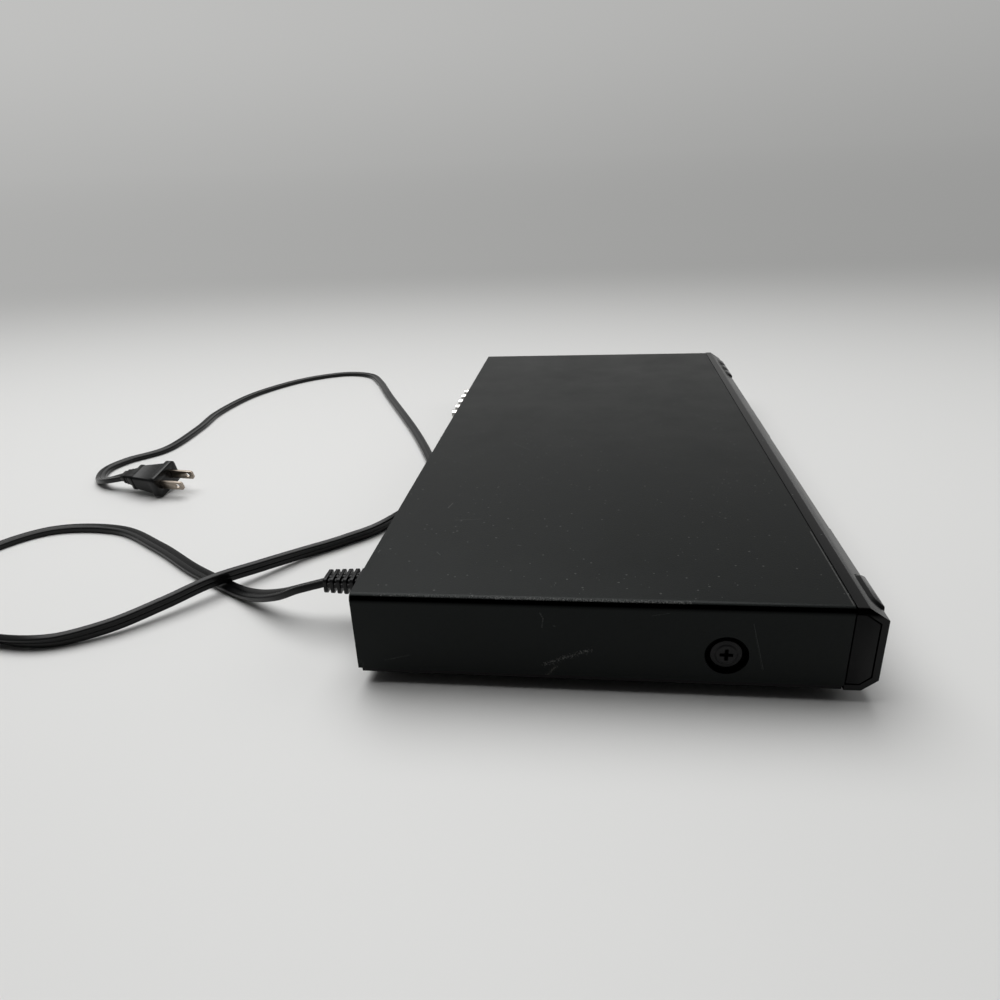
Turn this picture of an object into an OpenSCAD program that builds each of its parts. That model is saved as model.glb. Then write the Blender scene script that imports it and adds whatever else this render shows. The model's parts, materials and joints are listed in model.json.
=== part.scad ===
// Disc player with a motorised tray: slim full-width case, bezel with chamfered edges,
// tray loader, lifting traverse with spindle and pickup sled, boards, jacks, mains cord and plug.
// Millimetres. X runs to the right seen from the front, Y from the front to the rear, Z up.
// The origin is under the middle of the case, on the surface that it stands on.

/* [Case] */
// Width across the cover and the bezel
body_w = 430; // [420:1:450]
// Height of the top of the cover above the surface it stands on
body_top = 43; // [43:0.5:46]
// Depth of the cover, from the back of the bezel to the rear edge
cover_d = 196; // [194:1:220]
// Height of the cover's sides
cover_side_h = 35.6; // [34:0.2:37]
// Thickness of the cover and chassis sheet
sheet_t = 1; // [0.8:0.1:1.2]
// Outer radius of the cover's two long bends
cover_bend_r = 2.6; // [2:0.2:4]
// Height of the feet under the chassis
foot_h = 5; // [4:0.5:6]
// Radius of a foot
foot_r = 11; // [8:0.5:14]
// Distance of the feet from the case's sides and ends
foot_inset = 26; // [20:1:40]
// Height of the chassis side flanges
flange_h = 28; // [27:0.5:30]
// Height of the chassis front flange
front_flange_h = 7; // [5:0.5:9]
// Gap between nested sheet parts
sheet_gap = 0.3; // [0.2:0.05:0.5]

/* [Side screws] */
// Distance of the side screws behind the cover's front edge
side_screw_y = 45.5; // [35:0.5:80]
// Height of the side screws
side_screw_z = 20; // [19:0.5:22]
// Radius of the pressed recess round a side screw
dimple_r = 8.4; // [7:0.1:9]
// Depth of the pressed recess
dimple_depth = 1.6; // [1.2:0.1:2]
// Radius of the screw's flanged head
screw_head_r = 6.1; // [4.5:0.1:6.5]
// Radius of the screw's shank
screw_r = 1.9; // [1.5:0.1:2]
// Radial clearance round the screw shanks
screw_gap = 0.15; // [0.1:0.05:0.3]

/* [Bezel] */
// Depth of the bezel in front of the cover
bezel_d = 12.5; // [12:0.5:16]
// Height of the bezel's lower face
bezel_bottom = 5.5; // [5:0.5:6]
// Wall thickness of the bezel
bezel_wall = 2.6; // [2.2:0.1:3]
// Flat strip along the top before the chamfer
top_flat = 4.7; // [3.5:0.1:6]
// Angle of the top chamfer below level
top_chamfer_a = 34.5; // [28:0.5:38]
// Flat strip along the bottom before the chamfer
bottom_flat = 6.5; // [5:0.1:8]
// Angle of the bottom chamfer above level
bottom_chamfer_a = 40; // [34:1:45]
// Gap round the pieces that stand in the bezel's openings
bezel_gap = 0.3; // [0.2:0.05:0.5]
// Distance of the tray slot from the case's left end
slot_inset = 79; // [78:1:81]
// Width of the tray slot
slot_w = 134; // [132:1:136]
// Height of the slot's lower edge
slot_z = 20.5; // [19.5:0.5:21.5]
// Height of the slot's upper edge
slot_top = 38; // [37.8:0.1:38.4]
// How far the tray door stands back from the bezel's face
door_recess = 0.5; // [0.3:0.1:1]
// Thickness of the tray door
door_t = 2.7; // [2.2:0.1:3.2]
// Gap between the tray slot and the display window
window_gap = 16; // [12:1:20]
// Gap between the display window and the first function button
window_end_gap = 27.25; // [24:0.25:40]
// Height of the window's lower edge
window_z = 14; // [13:0.5:16]
// Height of the display window
window_h = 20; // [14:0.5:21]

/* [Buttons] */
// How far the buttons stand proud of the bezel
button_proud = 1; // [0.8:0.1:1.5]
// Travel of a button
button_travel = 0.8; // [0.5:0.1:1]
// Depth of a button's shell behind the bezel's skin
button_shell = 1.6; // [1.4:0.1:2]
// Distance of the power button's centre from the case's left end
power_inset = 21; // [19:1:25]
// Length of the power button
power_w = 24; // [18:1:26]
// Distance of the last function button's centre from the case's right end
key_inset = 22; // [20:1:26]
// Centre-to-centre distance of the function buttons
key_pitch = 18; // [17.5:0.5:20]
// Length of a function button
key_w = 15.5; // [12:0.5:16]
// Height of the buttons' lower edge
button_z = 26; // [24:0.5:28]
// Height of the buttons' upper edge
button_top = 40.4; // [39.5:0.1:40.6]
// Corner radius of the buttons
button_r = 4; // [2:0.5:5]
// Radius of a button's plunger
plunger_r = 1.6; // [1.2:0.1:1.8]
// Running clearance round a plunger
plunger_gap = 0.08; // [0.05:0.01:0.1]

/* [Rear] */
// Distance of the first jack from the middle of the case
jack_x = 68.5; // [60:0.5:72]
// Centre-to-centre distance of the jacks
jack_pitch = 14.5; // [14:0.5:16]
// Height of the upper row of jacks
jack_z = 31.2; // [30.5:0.1:31.8]
// Height of the lower row of jacks
jack_low_z = 17.2; // [16.8:0.1:17.6]
// Number of jacks in the upper row
jack_upper_n = 5; // [2:1:5]
// Number of jacks in the lower row
jack_lower_n = 2; // [1:1:2]
// Outer radius of a jack's barrel
jack_r = 4.15; // [4.1:0.05:4.2]
// Wall thickness of a jack's barrel
jack_wall = 0.65; // [0.5:0.05:0.8]
// Radius of a jack's centre hole
jack_hole_r = 1.6; // [1.5:0.05:1.7]
// How far the barrels reach behind the cover's rear edge
jack_reach = 8.5; // [7:0.5:10]
// Distance of the strain relief from the left side
relief_inset = 47; // [40:1:52]
// Height of the strain relief
relief_z = 22; // [20:0.5:24]
// Length of the strain relief behind the rear panel
relief_len = 29; // [24:1:34]

/* [Tray] */
// Width of the tray
tray_w = 128; // [127:0.5:129]
// Depth of the tray behind its door
tray_d = 166; // [164:1:168]
// Height of the tray's deck
tray_top = 34; // [33.8:0.1:34.2]
// Thickness of the deck, down to its underside
tray_t = 4.8; // [4.6:0.1:5]
// Radius of the well for a full-size disc
well_r = 60.8; // [60.5:0.1:61]
// Depth of that well
well_depth = 2; // [1.6:0.1:2.2]
// Radius of the well for a small disc
small_well_r = 40.8; // [40.5:0.1:41.2]
// Further depth of the small well
small_well_depth = 1.2; // [0.8:0.1:1.4]
// Edge of the tray in front of the well
tray_front_margin = 5.5; // [5:0.5:6]
// Width of the opening for the pickup
notch_w = 42; // [40:1:44]
// Travel of the tray
tray_travel = 134; // [125:1:136]
// Depth of the tray's side skirts below its underside
skirt_h = 2.6; // [2.2:0.1:2.8]
// Thickness of the skirts
skirt_t = 2; // [1.6:0.1:2.4]
// Vertical clearance under and over the tray's edges
tray_gap = 0.2; // [0.15:0.05:0.3]

/* [Loader gears] */
// Module of the rack and its gear
rack_m = 1; // [1:0.05:1.1]
// Teeth of the gear on the rack
rack_gear_n = 12; // [11:1:13]
// Module of the reduction gears
train_m = 0.8; // [0.75:0.05:0.85]
// Teeth of the large gear
large_n = 36; // [34:2:36]
// Teeth of the pulley gear's pinion
pulley_pinion_n = 10; // [10:1:12]
// Distance from the middle of the tray to the rack's pitch line
rack_offset = 52; // [51.5:0.5:53]
// Distance of the gear axles behind the cover's front edge
gear_inset = 16.1; // [16:0.1:16.3]
// Groove radius of the pulley gear
big_groove_r = 9.9; // [9:0.1:10]
// Groove radius of the motor pulley
small_groove_r = 2.6; // [2.2:0.1:3]
// Thickness of the square belt
belt_t = 1.4; // [1.2:0.1:1.6]
// Pressure angle of all teeth
pressure_a = 25; // [24:1:26]
// Backlash along the pitch line
backlash = 0.2; // [0.15:0.05:0.25]
// Radius of the gear axles
axle_r = 1.5; // [1.3:0.1:1.6]
// Running clearance round axles and shafts
run_gap = 0.05; // [0.03:0.01:0.08]
// Distance between the motor shaft and the pulley gear's axle
belt_centres = 44; // [42:0.5:46]

/* [Traverse] */
// Rise of the turntable from its lowered place
lift_h = 6.5; // [6:0.1:6.6]
// Distance of the lift frame's pivot behind the cover's front edge
pivot_inset = 163.5; // [163:0.5:165]
// Travel of the cam slider
cam_travel = 12; // [11:0.5:14]
// Radius of the cam pins
pin_r = 1.5; // [1.3:0.1:1.6]
// Clearance round a cam pin in its slot
pin_gap = 0.3; // [0.25:0.05:0.4]
// Radius of the turntable
turntable_r = 14; // [13:0.5:15]
// Height of the disc's seat on the turntable
seat_z = 34.5; // [34.4:0.1:34.7]
// Radius of the spindle shaft
spindle_r = 1; // [0.8:0.1:1.2]
// Radius of the rotor can
rotor_r = 12; // [11:0.5:12.5]
// Radius of the guide rails
rail_r = 1.5; // [1.4:0.1:1.6]
// Distance of the main rail to the left of the spindle
rail_left = 24; // [23.5:0.5:24.5]
// Distance of the second rail to the right of the spindle
rail_right = 20; // [19.5:0.5:20.5]
// Travel of the pickup sled
sled_travel = 34; // [32:1:34]
// Module of the sled's gears
sled_m = 0.8; // [0.75:0.05:0.8]
// Teeth of the gear on the sled's rack, and of the motor's pinion
sled_pinion_n = 10; // [10:1:11]
// Teeth of the sled's large gear
sled_large_n = 20; // [19:1:21]
// Distance from the spindle's line to the pitch line of the sled's rack
sled_rack_offset = 33; // [33:0.5:33.5]

/* [Boards] */
// Height of the boards over the chassis
board_lift = 3; // [2.6:0.2:3.4]
// Thickness of the boards
board_t = 1.6; // [1.2:0.1:1.8]
// Width of the power supply board
power_board_w = 60; // [56:1:62]
// Depth of the power supply board
power_board_d = 130; // [125:1:135]
// Gap between the loader and the main board
main_board_gap = 13; // [11:1:17]
// Depth of the main board
main_board_d = 104; // [100:1:110]

/* [Cord] */
// Width of the flat cord
cord_w = 7; // [6.4:0.1:7.4]
// Thickness of the flat cord
cord_t = 3.6; // [3.2:0.1:3.6]
// Width of the plug's flange
plug_w = 25; // [23:0.5:27]
// Height of the plug's flange
plug_h = 16; // [14:0.5:17]
// Length of the plug's body with its tail
plug_len = 34; // [30:1:38]
// Roll of the plug about its own axis
plug_roll = 15; // [0:1:20]
// Turn of the plug about the vertical
plug_yaw = -8; // [-20:1:20]
// Distance between the blades
blade_pitch = 12.7; // [12.6:0.1:12.8]
// Length of a blade
blade_len = 17.5; // [16:0.1:18.2]
// Width of a blade
blade_w = 6.35; // [6.3:0.05:6.4]
// Thickness of a blade
blade_t = 1.5; // [1.4:0.1:1.6]

/* [Hidden] */
$fn = 48;

// case faces
half_w = body_w / 2;
depth_all = button_proud + bezel_d + cover_d + jack_reach;
bezel_y = -depth_all / 2 + button_proud;
cover_y = bezel_y + bezel_d;
rear_y = cover_y + cover_d;
cover_bottom = body_top - cover_side_h;
cover_under = body_top - sheet_t;
pan_top = foot_h + sheet_t;
side_out = half_w - sheet_t - sheet_gap;
side_in = side_out - sheet_t;
panel_out = rear_y - sheet_t - 0.2;
panel_in = panel_out - sheet_t;
tab_w = 16;
tab_h = 8;
tab_xs = [-half_w + 22, -12, half_w - 22];
tab_z = cover_under - tab_h / 2;
small_screw_r = 1.4;
small_head_r = 2.9;
small_head_h = 1.6;
side_screw_len = 9;
rear_screw_len = 6;
loader_screw_len = 4.6;
bridge_screw_len = 5;
board_screw_len = 4.2;
side_screw_at = cover_y + side_screw_y;
dimple_wall = dimple_r + sheet_t;
cup_gap = 0.1;

// bezel outline: front edge heights of the two chamfers
top_edge_z = body_top - (bezel_d - top_flat) * tan(top_chamfer_a);
bottom_edge_z = bezel_bottom + (bezel_d - bottom_flat) * tan(bottom_chamfer_a);
cap_t = 2.5;
power_x = -half_w + power_inset;
key_xs = [for (i = [2:-1:0]) half_w - key_inset - i * key_pitch];
slot_x = -half_w + slot_inset;
window_x = slot_x + slot_w + window_gap;
window_w = key_xs[0] - key_w / 2 - window_end_gap - window_x;

// tray and loader
tray_cx = slot_x + slot_w / 2;
door_y = bezel_y + door_recess;
tray_y = door_y + door_t;
tray_under = tray_top - tray_t;
tray_rear = tray_y + tray_d;
disc_y = tray_y + tray_front_margin + well_r;
well_z = tray_top - well_depth;
skirt_bottom = tray_under - skirt_h;
loader_wall = 2.4;
loader_w = tray_w + 16;
loader_x0 = tray_cx - loader_w / 2;
loader_x1 = tray_cx + loader_w / 2;
loader_y0 = cover_y + 2 * sheet_gap + sheet_t;
loader_y1 = tray_rear + 22;
deck_z = pan_top + 3;
deck_t = 2.2;
deck_top = deck_z + deck_t;
wall_top = tray_top + 4;
window_half = 50.5;
loader_posts = [for (x = [loader_x0 + 6, loader_x1 - 6], y = [loader_y0 + 7, loader_y1 - 9]) [x, y]];

// boards
board_z = pan_top + board_lift;
board_edge_gap = 5;
board_top = board_z + board_t;
boss_r = 3;
boss_hole_r = small_screw_r + screw_gap;
main_board_x = loader_x1 + main_board_gap;
main_board_w = side_in - board_edge_gap - main_board_x;
main_board_y = panel_in - 1 - main_board_d;
power_board_x = -side_in + board_edge_gap - 1;
power_board_y = panel_in - 8 - power_board_d;
main_holes = [for (x = [main_board_x + 6, main_board_x + main_board_w - 6],
                   y = [main_board_y + 6, main_board_y + main_board_d - 26]) [x, y]];
power_holes = [for (x = [power_board_x + 5, power_board_x + power_board_w - 5],
                    y = [power_board_y + 5, power_board_y + power_board_d - 5]) [x, y]];

// jacks
jack_xs = [for (i = [0:jack_upper_n - 1]) [jack_x + i * jack_pitch, jack_z]];
jack_low_xs = [for (i = [0:jack_lower_n - 1]) [jack_x + i * jack_pitch, jack_low_z]];
jacks = concat(jack_xs, jack_low_xs);
nose_r = jack_r + 0.85;
nose_y = panel_out + 1.2;
block_d = 11;
relief_x = -half_w + relief_inset;

// tray drive train
rack_pitch_r = rack_m * rack_gear_n / 2;
large_r = train_m * large_n / 2;
pulley_pinion_r = train_m * pulley_pinion_n / 2;
gear_y = cover_y + gear_inset;
rack_x = tray_cx + rack_offset;
tray_gear_x = rack_x - rack_pitch_r;
pulley_gear_x = tray_gear_x - large_r - pulley_pinion_r;
motor_x = pulley_gear_x - belt_centres;
rack_z = tray_under - 4.6;
gear_hub_z = deck_top + 0.3;
large_z = deck_top + 1.2;
gear_face = 5;
belt_z = deck_top + 10.9;
pulley_h = 3.2;
motor_r = 12;
motor_h = 9;
motor_shaft_r = 1;

// traverse
pivot_y = cover_y + pivot_inset;
lift_z = 14.4;
lift_t = 4;
pivot_z = lift_z + lift_t / 2;
lift_a = asin(lift_h / (pivot_y - disc_y));
lift_half = 47;
lift_front = gear_y - large_r + 33.8;
lift_rear = pivot_y + 4;
pivot_pin_r = 2;
cam_t = 3;
cam_y = lift_front - 1 - cam_t;
cam_pin_xs = [-25, 25];
cam_drop = (pivot_y - cam_y - cam_t / 2) * sin(lift_a);
plate_z = lift_z + lift_t + 1.6;
plate_t = 1.2;
plate_top = plate_z + plate_t;
plate_half = 45;
damper_r = 4.6;
damper_waist_r = 2.9;
damper_hole_r = 1.3;
damper_xy = [for (x = [-41, 41], y = [lift_front + 7, lift_rear - 9]) [x, y]];
rail_z = plate_top + 3.3;
rail_y0 = disc_y + 1.5;
rail_len = 92;
holder_d = 7;
lens_y = disc_y + 25;
sled_y0 = lens_y - 10.6;
sled_d = 30;
sled_rack_r = sled_m * sled_pinion_n / 2;
sled_large_r = sled_m * sled_large_n / 2;
sled_gear_x = tray_cx + sled_rack_offset + sled_rack_r;
sled_gear_y = disc_y + 59;
sled_pinion_d = (sled_large_r + sled_rack_r) * sqrt(0.5);
sled_pinion_x = sled_gear_x - sled_pinion_d;
sled_pinion_y = sled_gear_y + sled_pinion_d;
sled_gear_z = plate_top + 0.4;
sled_gear_face = 1.8;
sled_rack_z = sled_gear_z + sled_gear_face + 0.4;
sled_motor_r = 8.5;
rotor_top = seat_z - 4;
bridge_z = wall_top;
bridge_t = 1.2;
clamp_hole_r = 10.5;

// cord: route of its middle line on the surface and up to the strain relief and the plug; each point also
// has the degrees that the cord's width is turned from level
route = [
    [-168, 126.5, 22, -15], [-168, 142, 17.5, -12], [-164.5, 156, 11.5, 8], [-156, 173, 5.5, 16],
    [-145, 191, 2.4, 16], [-126, 222, 2.2, 14], [-99, 259, 2, 8], [-76, 300, 1.8, 0], [-79, 345, 1.8, 0],
    [-114, 368, 1.8, 0], [-151, 358, 1.8, 0], [-179, 328, 2.2, 15], [-196, 292, 2.9, 45],
    [-199, 260, 3.4, 70], [-187, 235, 4.8, 78], [-168, 216, 6.8, 78], [-148, 200, 8.4, 78],
    [-127, 183, 6.4, 78], [-105, 165, 4, 75], [-88, 147, 3.4, 70], [-66, 129, 3.4, 70], [-12, 111, 2.5, 25],
    [24, 116, 1.8, 0], [110, 149, 1.8, 0], [225, 202, 1.8, 0], [281, 227, 1.8, 0], [311, 246, 1.8, 0],
    [320, 275, 1.8, 0], [304, 307, 1.8, 0], [275, 331, 1.8, 0], [231, 350, 1.8, 0], [175, 356, 1.8, 0],
    [128, 351, 1.8, 0], [75, 351, 1.8, 0], [48, 369, 1.8, 0], [27, 374, 1.8, 0], [7, 366, 2.2, 0],
    [-4, 352, 6, 0], [-7, 334.5, 10.4, -plug_roll]
];
cord_end = place(route[len(route) - 1]);
flange_t = 4.4;
flange_corner_r = 3;
grip_y = -10;
grip_t = 1.8;
grip_w = plug_w - 8;
grip_h = plug_h - 4;

// ---------- helpers ----------

// a plan in X and Z, extruded along Y from y0
module along_y(y0, len) translate([0, y0 + len, 0]) rotate([90, 0, 0]) linear_extrude(len) children();

// a profile in Y and Z, extruded along X from x0
module along_x(x0, len) translate([x0, 0, 0]) rotate([90, 0, 90]) linear_extrude(len) children();

// a rod along Y
module rod_y(r, y0, len, x = 0, z = 0) translate([x, y0 + len, z]) rotate([90, 0, 0])
    cylinder(r = r, h = len);

// a rod along X
module rod_x(r, x0, len, y = 0, z = 0) translate([x0, y, z]) rotate([0, 90, 0]) cylinder(r = r, h = len);

module block(x, y, z) translate([x[0], y[0], z[0]]) cube([x[1] - x[0], y[1] - y[0], z[1] - z[0]]);

// a rounded rectangle about its centre
module pad(w, h, r) {
    square([w - 2 * r, h], center = true);
    square([w, h - 2 * r], center = true);
    for (x = [-1, 1], y = [-1, 1]) translate([x * (w / 2 - r), y * (h / 2 - r)]) circle(r);
}

module tube(r, hole, h) difference() {
    cylinder(r = r, h = h);
    translate([0, 0, -1]) cylinder(r = hole, h = h + 2);
}

function involute(a) = tan(a) * 180 / PI - a;

// half of a tooth's angle at radius r
function tooth_half(r, m, n) =
    let (pitch_r = m * n / 2, base_r = pitch_r * cos(pressure_a),
         here = r > base_r ? involute(acos(base_r / r)) : 0)
    90 / n - backlash / 4 / pitch_r * 180 / PI + involute(pressure_a) - here;

// gear outline with a tooth's middle at angle phase
module gear_outline(m, n, phase = 0) {
    pitch_r = m * n / 2;
    root_r = pitch_r - 1.1 * m;
    tip_r = pitch_r + 0.85 * m;
    radii = [root_r, max(root_r + 0.05, pitch_r * cos(pressure_a)), pitch_r + 0.1 * m, tip_r];
    polygon([for (i = [0:n - 1]) let (mid = phase + i * 360 / n)
        each concat(
            [for (r = radii) let (a = mid - tooth_half(r, m, n)) r * [cos(a), sin(a)]],
            [for (k = [3:-1:0]) let (r = radii[k], a = mid + tooth_half(r, m, n)) r * [cos(a), sin(a)]])]);
}

// rack teeth along Y whose pitch line is x = 0; a tooth's middle at y = 0; side is the way the teeth face
module rack_outline(m, first, last, back, side) {
    pitch = PI * m;
    tip = 0.85 * m;
    root = 1.1 * m;
    half = pitch / 4 - backlash / 4;
    slope = tan(pressure_a);
    points = [for (i = [first:last]) each [
        [-root, i * pitch - half - root * slope], [tip, i * pitch - half + tip * slope],
        [tip, i * pitch + half - tip * slope], [-root, i * pitch + half + root * slope]]];
    mirror([side < 0 ? 1 : 0, 0])
        polygon(concat([[-back, points[0][1]]], points, [[-back, points[len(points) - 1][1]]]));
}

// ---------- case ----------

module cover_outline(hw, top, bottom, r) {
    translate([-hw, bottom]) square([2 * hw, top - bottom - r]);
    translate([-hw + r, bottom]) square([2 * (hw - r), top - bottom]);
    for (s = [-1, 1]) translate([s * (hw - r), top - r]) circle(r);
}

// puts children at a side screw with +Z pointing into the case from the cover's outer face
module at_side_screws() for (s = [-1, 1])
    translate([s * half_w, side_screw_at, side_screw_z]) rotate([0, -s * 90, 0]) children();

module at_rear_tabs() for (x = tab_xs) translate([x, rear_y, tab_z]) rotate([90, 0, 0]) children();

module top_cover() color("#202423") difference() {
    union() {
        along_y(cover_y, cover_d) difference() {
            cover_outline(half_w, body_top, cover_bottom, cover_bend_r);
            cover_outline(half_w - sheet_t, cover_under, cover_bottom - 1, cover_bend_r - sheet_t);
        }
        at_side_screws() cylinder(r = dimple_wall, h = dimple_depth + sheet_t);
        for (x = tab_xs) block([x - tab_w / 2, x + tab_w / 2], [rear_y - sheet_t, rear_y],
                               [cover_under - tab_h, cover_under + sheet_t / 2]);
    }
    at_side_screws() {
        translate([0, 0, -1]) cylinder(r = dimple_r, h = 1 + dimple_depth);
        cylinder(r = screw_r + screw_gap, h = dimple_depth + sheet_t + 1);
    }
    at_rear_tabs() translate([0, 0, -1]) cylinder(r = small_screw_r + screw_gap, h = sheet_t + 2);
}

module boss(xy, h) translate([xy[0], xy[1], pan_top]) tube(boss_r, boss_hole_r, h);

foot_xy = [for (x = [-half_w + foot_inset, half_w - foot_inset],
                y = [cover_y + foot_inset, panel_in - foot_inset]) [x, y]];
vent_w = 3;
vent_len = 34;
vent_xs = [for (i = [0:5]) power_board_x + 9 + i * 8];
rear_vent_len = 18;
rear_vent_z = 24;
rear_vent_xs = [for (i = [0:8]) tray_cx - 41 + i * 7];

module bottom_chassis() color("#1e2021") difference() {
    union() {
        block([-side_out, side_out], [cover_y + sheet_gap, panel_out], [foot_h, pan_top]);
        for (s = [-1, 1]) mirror([s < 0 ? 1 : 0, 0, 0])
            block([side_in, side_out], [cover_y + sheet_gap, panel_out], [foot_h, foot_h + flange_h]);
        block([-side_out, side_out], [cover_y + sheet_gap, cover_y + sheet_gap + sheet_t],
              [foot_h, foot_h + front_flange_h]);
        at_side_screws() translate([0, 0, sheet_t + sheet_gap])
            cylinder(r = dimple_wall + 0.3 + sheet_t, h = dimple_depth + cup_gap + sheet_t);
        for (p = main_holes) boss(p, board_lift);
        for (p = power_holes) boss(p, board_lift);
        for (p = loader_posts) boss(p, deck_z - pan_top);
        // stiffening beads pressed across the plate
        for (y = [cover_y + 60, cover_y + 130]) along_x(loader_x1 + 6, 16)
            polygon([[y - 3, pan_top - 0.5], [y - 2, pan_top + 1.2], [y + 2, pan_top + 1.2],
                [y + 3, pan_top - 0.5]]);
    }
    at_side_screws() {
        cylinder(r = dimple_wall + 0.3, h = dimple_depth + sheet_t + cup_gap);
        cylinder(r = screw_r + screw_gap, h = dimple_depth + 3 * sheet_t + 2);
    }
    for (p = foot_xy) translate([p[0], p[1], foot_h - 1]) cylinder(r = stud_r + 0.1, h = sheet_t + 2);
    for (x = vent_xs) translate([x, power_board_y + power_board_d / 2, foot_h - 1])
        linear_extrude(sheet_t + 2) pad(vent_w, vent_len, vent_w / 2 - 0.05);
}

stud_r = 3;

module feet() color("#161616") for (p = foot_xy) translate([p[0], p[1], 0]) rotate_extrude()
    polygon([[0, 0], [foot_r - 1.6, 0], [foot_r - 0.6, 1], [foot_r, foot_h], [stud_r, foot_h],
             [stud_r, pan_top + 0.1], [stud_r + 0.8, pan_top + 0.1],
             [stud_r - 0.6, pan_top + 1.6], [0, pan_top + 1.6]]);

// flanged head with a raised ring and a cross recess, on a plain shank; +Z goes into the case
module flanged_screw(shank_len) difference() {
    rotate_extrude() polygon([[0, 0.1], [screw_head_r - 2.1, 0.1], [screw_head_r - 1.6, 0.7],
        [screw_head_r, 0.8], [screw_head_r, dimple_depth], [screw_r, dimple_depth],
        [screw_r, shank_len], [0, shank_len]]);
    for (a = [0, 90]) rotate([0, 0, a]) translate([-2.6, -0.55, -1]) cube([5.2, 1.1, 2]);
}

module side_screws() color("#15171a") at_side_screws() flanged_screw(side_screw_len);

// pan head screw pointing along +Z from the head's seat
module pan_screw(len) difference() {
    union() {
        translate([0, 0, -small_head_h]) cylinder(r = small_head_r, h = small_head_h);
        cylinder(r = small_screw_r, h = len);
    }
    for (a = [0, 90]) rotate([0, 0, a]) translate([-1.6, -0.35, -small_head_h - 1]) cube([3.2, 0.7, 1.8]);
}

module rear_screws() color("#2b2c2e") at_rear_tabs() pan_screw(rear_screw_len);

module loader_screws() color("#b9bcbe") {
    for (p = loader_posts) translate([p[0], p[1], deck_top]) rotate([180, 0, 0]) pan_screw(loader_screw_len);
    for (p = bridge_screw_xy) translate([p[0], p[1], bridge_z + bridge_t]) rotate([180, 0, 0])
        pan_screw(bridge_screw_len);
}

module board_screws() color("#b9bcbe") for (p = concat(main_holes, power_holes))
    translate([p[0], p[1], board_top]) rotate([180, 0, 0]) pan_screw(board_screw_len);

module rear_panel() color("#1d2021") difference() {
    union() {
        block([-side_in + sheet_gap, side_in - sheet_gap], [panel_in, panel_out],
            [pan_top, cover_under - 0.2]);
        block([-side_in + sheet_gap, side_in - sheet_gap], [panel_in - 6, panel_in + 0.5],
              [cover_under - 0.2 - sheet_t, cover_under - 0.2]);
        block([-side_in + sheet_gap, jack_x - 24], [panel_in - 5, panel_in + 0.5],
            [pan_top, pan_top + sheet_t]);
    }
    for (j = jacks) rod_y(nose_r + 0.2, panel_in - 1, sheet_t + 2, j[0], j[1]);
    translate([relief_x, 0, relief_z]) along_y(panel_in - 1, sheet_t + 2) pad(neck_w + 0.4, neck_h + 0.4, 2);
    at_rear_tabs() translate([0, 0, sheet_t]) cylinder(r = small_screw_r + screw_gap, h = sheet_t + 2);
    for (x = rear_vent_xs) translate([x, 0, rear_vent_z]) along_y(panel_in - 1, sheet_t + 2)
        pad(vent_w, rear_vent_len, vent_w / 2 - 0.05);
}

// ---------- bezel ----------

module bezel_profile() polygon([
    [cover_y, bezel_bottom], [cover_y - bottom_flat, bezel_bottom], [bezel_y, bottom_edge_z],
    [bezel_y, top_edge_z], [cover_y - top_flat, body_top], [cover_y, body_top]]);

// the space inside the bezel's walls, open to the rear
module bezel_cavity() {
    offset(delta = -bezel_wall) bezel_profile();
    translate([cover_y - bezel_wall - 1, bezel_bottom + bezel_wall])
        square([bezel_wall + 2, body_top - bezel_bottom - 2 * bezel_wall]);
}

// outline of a button's opening, seen from the front
module button_plan(x, w, grow = 0) translate([x, (button_z + button_top) / 2])
    pad(w + 2 * grow, button_top - button_z + 2 * grow, button_r + grow);

buttons = concat([[power_x, power_w]], [for (x = key_xs) [x, key_w]]);

module front_bezel() color("#17181a") difference() {
    along_x(-half_w, body_w) bezel_profile();
    along_x(-half_w - 1, body_w + 2) bezel_cavity();
    block([slot_x, slot_x + slot_w], [bezel_y - 1, cover_y + 1], [slot_z, slot_top]);
    block([window_x, window_x + window_w], [bezel_y - 1, cover_y], [window_z, window_z + window_h]);
    for (b = buttons) along_y(bezel_y - 1, bezel_d) button_plan(b[0], b[1], bezel_gap);
}

module bezel_end_caps() color("#1a1b1d") for (s = [-1, 1]) mirror([s < 0 ? 1 : 0, 0, 0])
    along_x(half_w - cap_t, cap_t) offset(delta = -0.2) intersection() {
        bezel_cavity();
        translate([bezel_y, 0]) square([bezel_d, body_top]);
    }

module display_window() color("#0d0e12") {
    block([window_x + 0.2, window_x + window_w - 0.2], [bezel_y, bezel_y + bezel_wall + 0.1],
          [window_z + 0.2, window_z + window_h - 0.2]);
    block([window_x - 2, window_x + window_w + 2], [bezel_y + bezel_wall + 0.05, bezel_y + bezel_wall + 0.95],
          [window_z - 2, window_z + window_h + 1.4]);
}

// a button follows the bezel's chamfered edge and carries a plunger that runs in its switch
module button(x, w) color("#202225") {
    intersection() {
        along_x(x - w / 2, w) difference() {
            offset(delta = button_proud) bezel_profile();
            offset(delta = -button_shell) bezel_profile();
        }
        along_y(bezel_y - button_proud - 1, bezel_d + 2) button_plan(x, w);
    }
    rod_y(plunger_r, bezel_y + button_shell - 0.5, switch_y - bezel_y - button_shell + 1, x, switch_z);
}

switch_z = 31;
switch_y = bezel_y + 3.6;
switch_t = 3.4;
front_board_y = switch_y + switch_t;

module tact_switches() color("#2a2a2c") for (b = buttons) difference() {
    block([b[0] - 3, b[0] + 3], [switch_y, front_board_y], [switch_z - 3, switch_z + 3]);
    rod_y(plunger_r + plunger_gap, switch_y - 1, 3, b[0], switch_z);
}

front_board_z = 9.5;
front_board_top = 36;
power_switch_w = 28;

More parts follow.
